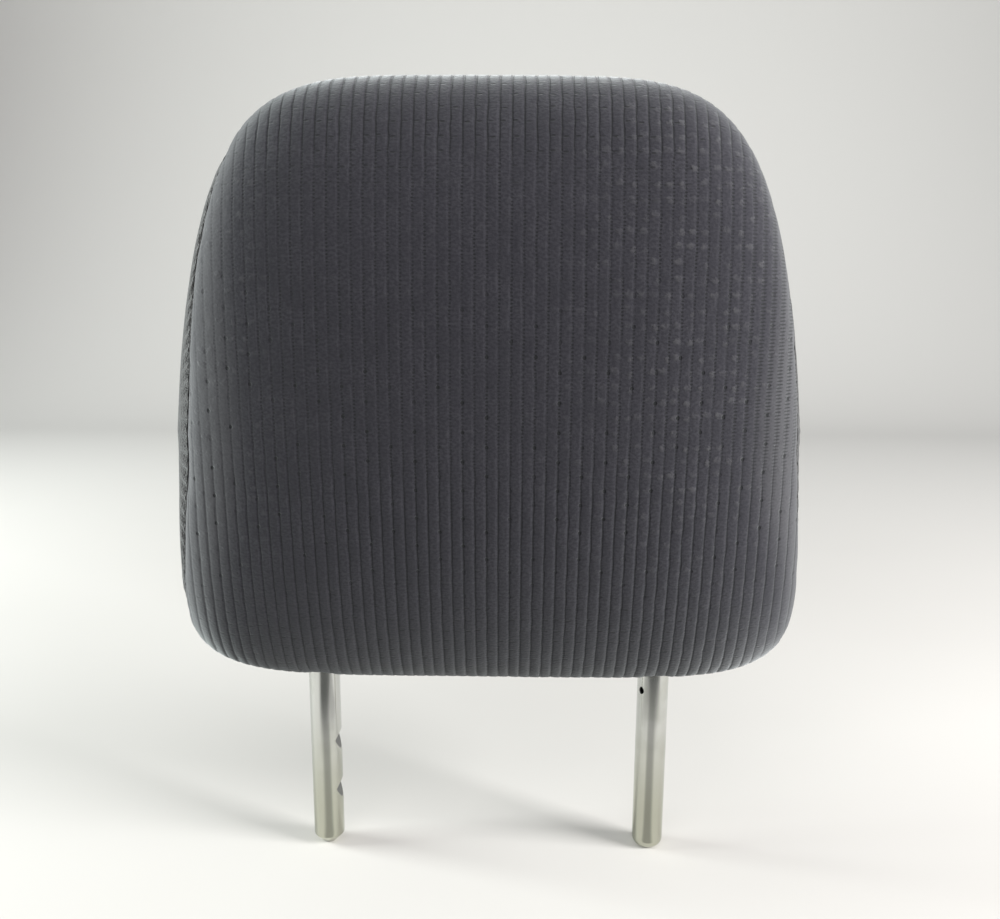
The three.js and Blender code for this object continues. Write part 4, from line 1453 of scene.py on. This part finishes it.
def hem_stitches():
    """Copies of the capsule along both hems, between the posts, just proud of the cloth."""
    strip_low, strip_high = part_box("front_closing_strip")
    count = int((strip_high.x - strip_low.x) / HEM_STITCH_PITCH)
    x = (np.arange(count) - (count - 1) / 2) * HEM_STITCH_PITCH
    rows = []
    for y in (-HEM_STITCH_INSET, HEM_STITCH_INSET):
        turn = underside_turn(y)
        share = share_at_x(turn, x)
        rows.append(cushion_surface(turn, share, cover_inset(turn, share) - HEM_STITCH_PROUD))
    places = np.concatenate(rows)
    stitch = capsule(HEM_STITCH, HEM_THREAD_RADIUS)
    points = places[:, None, None, :] + stitch[None]
    size = stitch.shape[0] * stitch.shape[1]
    faces = [grid_faces(*stitch.shape[:2], start=index * size, inside=True)
             for index in range(len(places))]
    return new_piece("hem_stitching", points, faces, thread)


hand_over(hem_stitches(), "side_knit")

# %% [markdown]
# ## Floor, light and camera
# The floor is a pale sheet that curves up into a wall, level with the posts' tips. Two soft lamps
# stand at the sides, where they brush the nap of the knit, and one above and in front throws the
# cushion's shadow on the floor behind it. A bright tube among pale things would vanish, so a card
# that only the metal sees lies on the floor in front. Its dark part is painted shade, which the
# posts show as a dark reflection.

# %% Floor and wall
FLOOR_HALF_WIDTH = 2.0
FLOOR_FRONT = -1.6
WALL_AT = 1.6
WALL_HEIGHT = 1.5
SWEEP_RADIUS = 0.6
PALE_FLOOR = linear(216, 213, 209)
MOTTLED_FLOOR = linear(212, 209, 205)
FAR_WALL = linear(240, 238, 234)
FAR_FROM = (0.25, 1.0)
SHADED_FLOOR = linear(120, 119, 117)


def as_seen(r):
    """1 for what the camera and the metal see, and 0 for the light that the floor throws back."""
    path = r.node("ShaderNodeLightPath").outputs
    return r.most(path["Is Camera Ray"], path["Is Glossy Ray"])


def backdrop():
    """A profile of floor, quarter circle and wall, carried along X."""
    turn = np.linspace(0, math.pi / 2, 24)
    y = np.concatenate([[FLOOR_FRONT], WALL_AT - SWEEP_RADIUS + SWEEP_RADIUS * np.sin(turn), [WALL_AT]])
    z = np.concatenate([[0], SWEEP_RADIUS * (1 - np.cos(turn)), [WALL_HEIGHT]])
    x = np.linspace(-FLOOR_HALF_WIDTH, FLOOR_HALF_WIDTH, 3)
    points = np.stack(np.broadcast_arrays(x[None, :], y[:, None], z[:, None]), axis=-1)
    r = Recipe("pale_floor")
    mottled = r.mix(PALE_FLOOR, MOTTLED_FLOOR, r.noise(r.object_place(), 6.0))
    _, depth, _ = r.parts(r.object_place())
    seen = r.mix(FAR_WALL, mottled, r.fade(depth, *FAR_FROM))
    r.set(Base_Color=r.mix(SHADED_FLOOR, seen, as_seen(r)), Roughness=0.8)
    piece = new_piece("backdrop", points, [grid_faces(*points.shape[:2], inside=True)], r.material)
    piece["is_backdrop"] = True


backdrop()

# %% The card in front, a painted dark reflection
CARD_HEIGHT = 2 * MM
CARD_HALF_WIDTH = 0.42
CARD_NEAR = -0.009
CARD_FAR = -0.45
CARD_MIDDLE = 0.035
# Painted shade that only the posts' reflections show: its colour, and where it fades out.
REFLECTED_SHADE_COLOUR = linear(76, 76, 74)
DARK_SIDES = (0.155, 0.225)
DARK_EDGE = (-0.155, -0.080)
TONGUE_SPREAD = (0.25, 0.75)
TONGUE_DARKNESS = 0.55
# The camera's place, seen from above.
CAMERA_X = 0.011
CAMERA_Y = -0.443


def tongue(r, x, y, side):
    """1 on a wedge of floor that runs from a post towards the camera and widens evenly, where the
    card paints a fainter shade for the post to reflect.
    """
    start = side * POST_HALF_SPACING
    slope = (CAMERA_X - start) / CAMERA_Y
    from_middle = r.less(r.less(x, start), r.times(y, slope))
    spread = r.over(r.size(from_middle), r.times(y, -1.0))
    return r.fade(spread, *TONGUE_SPREAD)


def reflected_shade_card():
    """A sheet just above the floor that only reflections show. It is dark in front and as pale as
    the floor elsewhere, with a fainter tongue up to each post, and every edge of its dark part is
    soft. The dark part is painted shade, which the posts show as a dark reflection."""
    x, y = CARD_HALF_WIDTH, CARD_NEAR
    points = np.array([(-x, y), (-x, CARD_FAR), (x, CARD_FAR), (x, y)])
    points = np.column_stack([points, np.full(4, CARD_HEIGHT)])
    r = Recipe("painted_reflection_card")
    x, y, _ = r.parts(r.object_place())
    from_middle = r.size(r.less(x, CARD_MIDDLE))
    # Painted shade, seen only in the posts' reflections.
    dark = r.times(r.fade(y, *DARK_EDGE), r.fade(from_middle, *DARK_SIDES))
    tongues = r.most(tongue(r, x, y, -1), tongue(r, x, y, 1))
    dark = r.most(dark, r.times(tongues, TONGUE_DARKNESS))
    seen = r.mix(PALE_FLOOR, REFLECTED_SHADE_COLOUR, dark)
    r.set(Base_Color=r.mix(SHADED_FLOOR, seen, as_seen(r)), Roughness=0.9)
    card = new_piece("painted_reflection_card", points, [np.arange(4)[None, :]], r.material)
    card.visible_camera = False
    card.visible_diffuse = False
    card.visible_shadow = False
    card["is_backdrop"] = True


reflected_shade_card()

# %% Lamps and world
CUSHION_CENTRE = Vector((0.0, 0.0, CUSHION_MIDDLE))
# Each lamp's name, place, size in metres, power in watts and colour.
LAMPS = (
    ("left_lamp", (-1.15, 0.08, 0.45), 0.55, 20.0, (0.94, 1.0, 0.98)),
    ("right_lamp", (1.15, -0.38, 0.55), 0.55, 27.5, (1.0, 1.0, 1.0)),
    ("front_lamp", (-0.15, -0.75, 1.30), 0.8, 4.5, (1.0, 1.0, 1.0)),
)
ROOM_COLOUR = linear(243, 244, 246)
ROOM_STRENGTH = 0.29


def area_lamp(name, place, size, power, colour):
    """A square lamp that is turned towards the middle of the cushion."""
    lamp = bpy.data.lights.new(name, "AREA")
    lamp.color = colour
    lamp.shape = "SQUARE"
    lamp.size = size
    lamp.energy = power
    made = bpy.data.objects.new(name, lamp)
    made.location = place
    made.rotation_euler = (CUSHION_CENTRE - Vector(place)).to_track_quat("-Z", "Y").to_euler()
    bpy.context.scene.collection.objects.link(made)


for lamp_values in LAMPS:
    area_lamp(*lamp_values)

world = bpy.data.worlds.new("soft_room")
world.use_nodes = True
world.node_tree.nodes["Background"].inputs["Color"].default_value = ROOM_COLOUR
world.node_tree.nodes["Background"].inputs["Strength"].default_value = ROOM_STRENGTH
bpy.context.scene.world = world
bpy.context.scene.view_settings.view_transform = "Standard"
print("three lamps and a soft room")

# %% [markdown]
# The camera stands where the photograph was taken from: nearly straight in front, a little above,
# and quite near, so that the posts converge towards the floor.

# %% Camera
CAMERA_AZIMUTH = math.radians(0.78)
CAMERA_ELEVATION = math.radians(12.6)
CAMERA_ROLL = math.radians(0.3)
CAMERA_DISTANCE = 454.6 * MM
CAMERA_TARGET = Vector((4.78, 0, 185.14)) * MM
FOCAL_PIXELS = 1044.0
IMAGE_WIDTH = 1000.0
SENSOR_WIDTH = 36.0


def photograph_camera():
    """Looks at the target from its azimuth and elevation, then rolls about its own axis."""
    back = Vector((math.sin(CAMERA_AZIMUTH) * math.cos(CAMERA_ELEVATION),
                   -math.cos(CAMERA_AZIMUTH) * math.cos(CAMERA_ELEVATION),
                   math.sin(CAMERA_ELEVATION)))
    right = back.cross(Vector((0, 0, 1))).normalized() * -1
    up = back.cross(right)
    rolled_right = right * math.cos(CAMERA_ROLL) + up * math.sin(CAMERA_ROLL)
    rolled_up = up * math.cos(CAMERA_ROLL) - right * math.sin(CAMERA_ROLL)
    camera = bpy.data.objects.new("camera", bpy.data.cameras.new("camera"))
    camera.data.sensor_width = SENSOR_WIDTH
    camera.data.lens = FOCAL_PIXELS / IMAGE_WIDTH * SENSOR_WIDTH
    turn = Matrix((rolled_right, rolled_up, back)).transposed()
    camera.matrix_world = Matrix.Translation(CAMERA_TARGET + back * CAMERA_DISTANCE) @ turn.to_4x4()
    bpy.context.scene.collection.objects.link(camera)
    bpy.context.scene.camera = camera
    print("camera at", [round(value, 4) for value in camera.location])


photograph_camera()

# %% [markdown]
# ## Sizes
# The box round the finished pieces is printed beside the construction model's box, so that the two can be
# compared.

# %% Print the sizes and finish
visual_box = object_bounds()
sizes = {"cad": [list(corner) for corner in cad_box], "visual": [list(corner) for corner in visual_box]}
for box_name, box in sizes.items():
    print(box_name, "box in millimetres:", [[round(value / MM, 1) for value in corner] for corner in box])
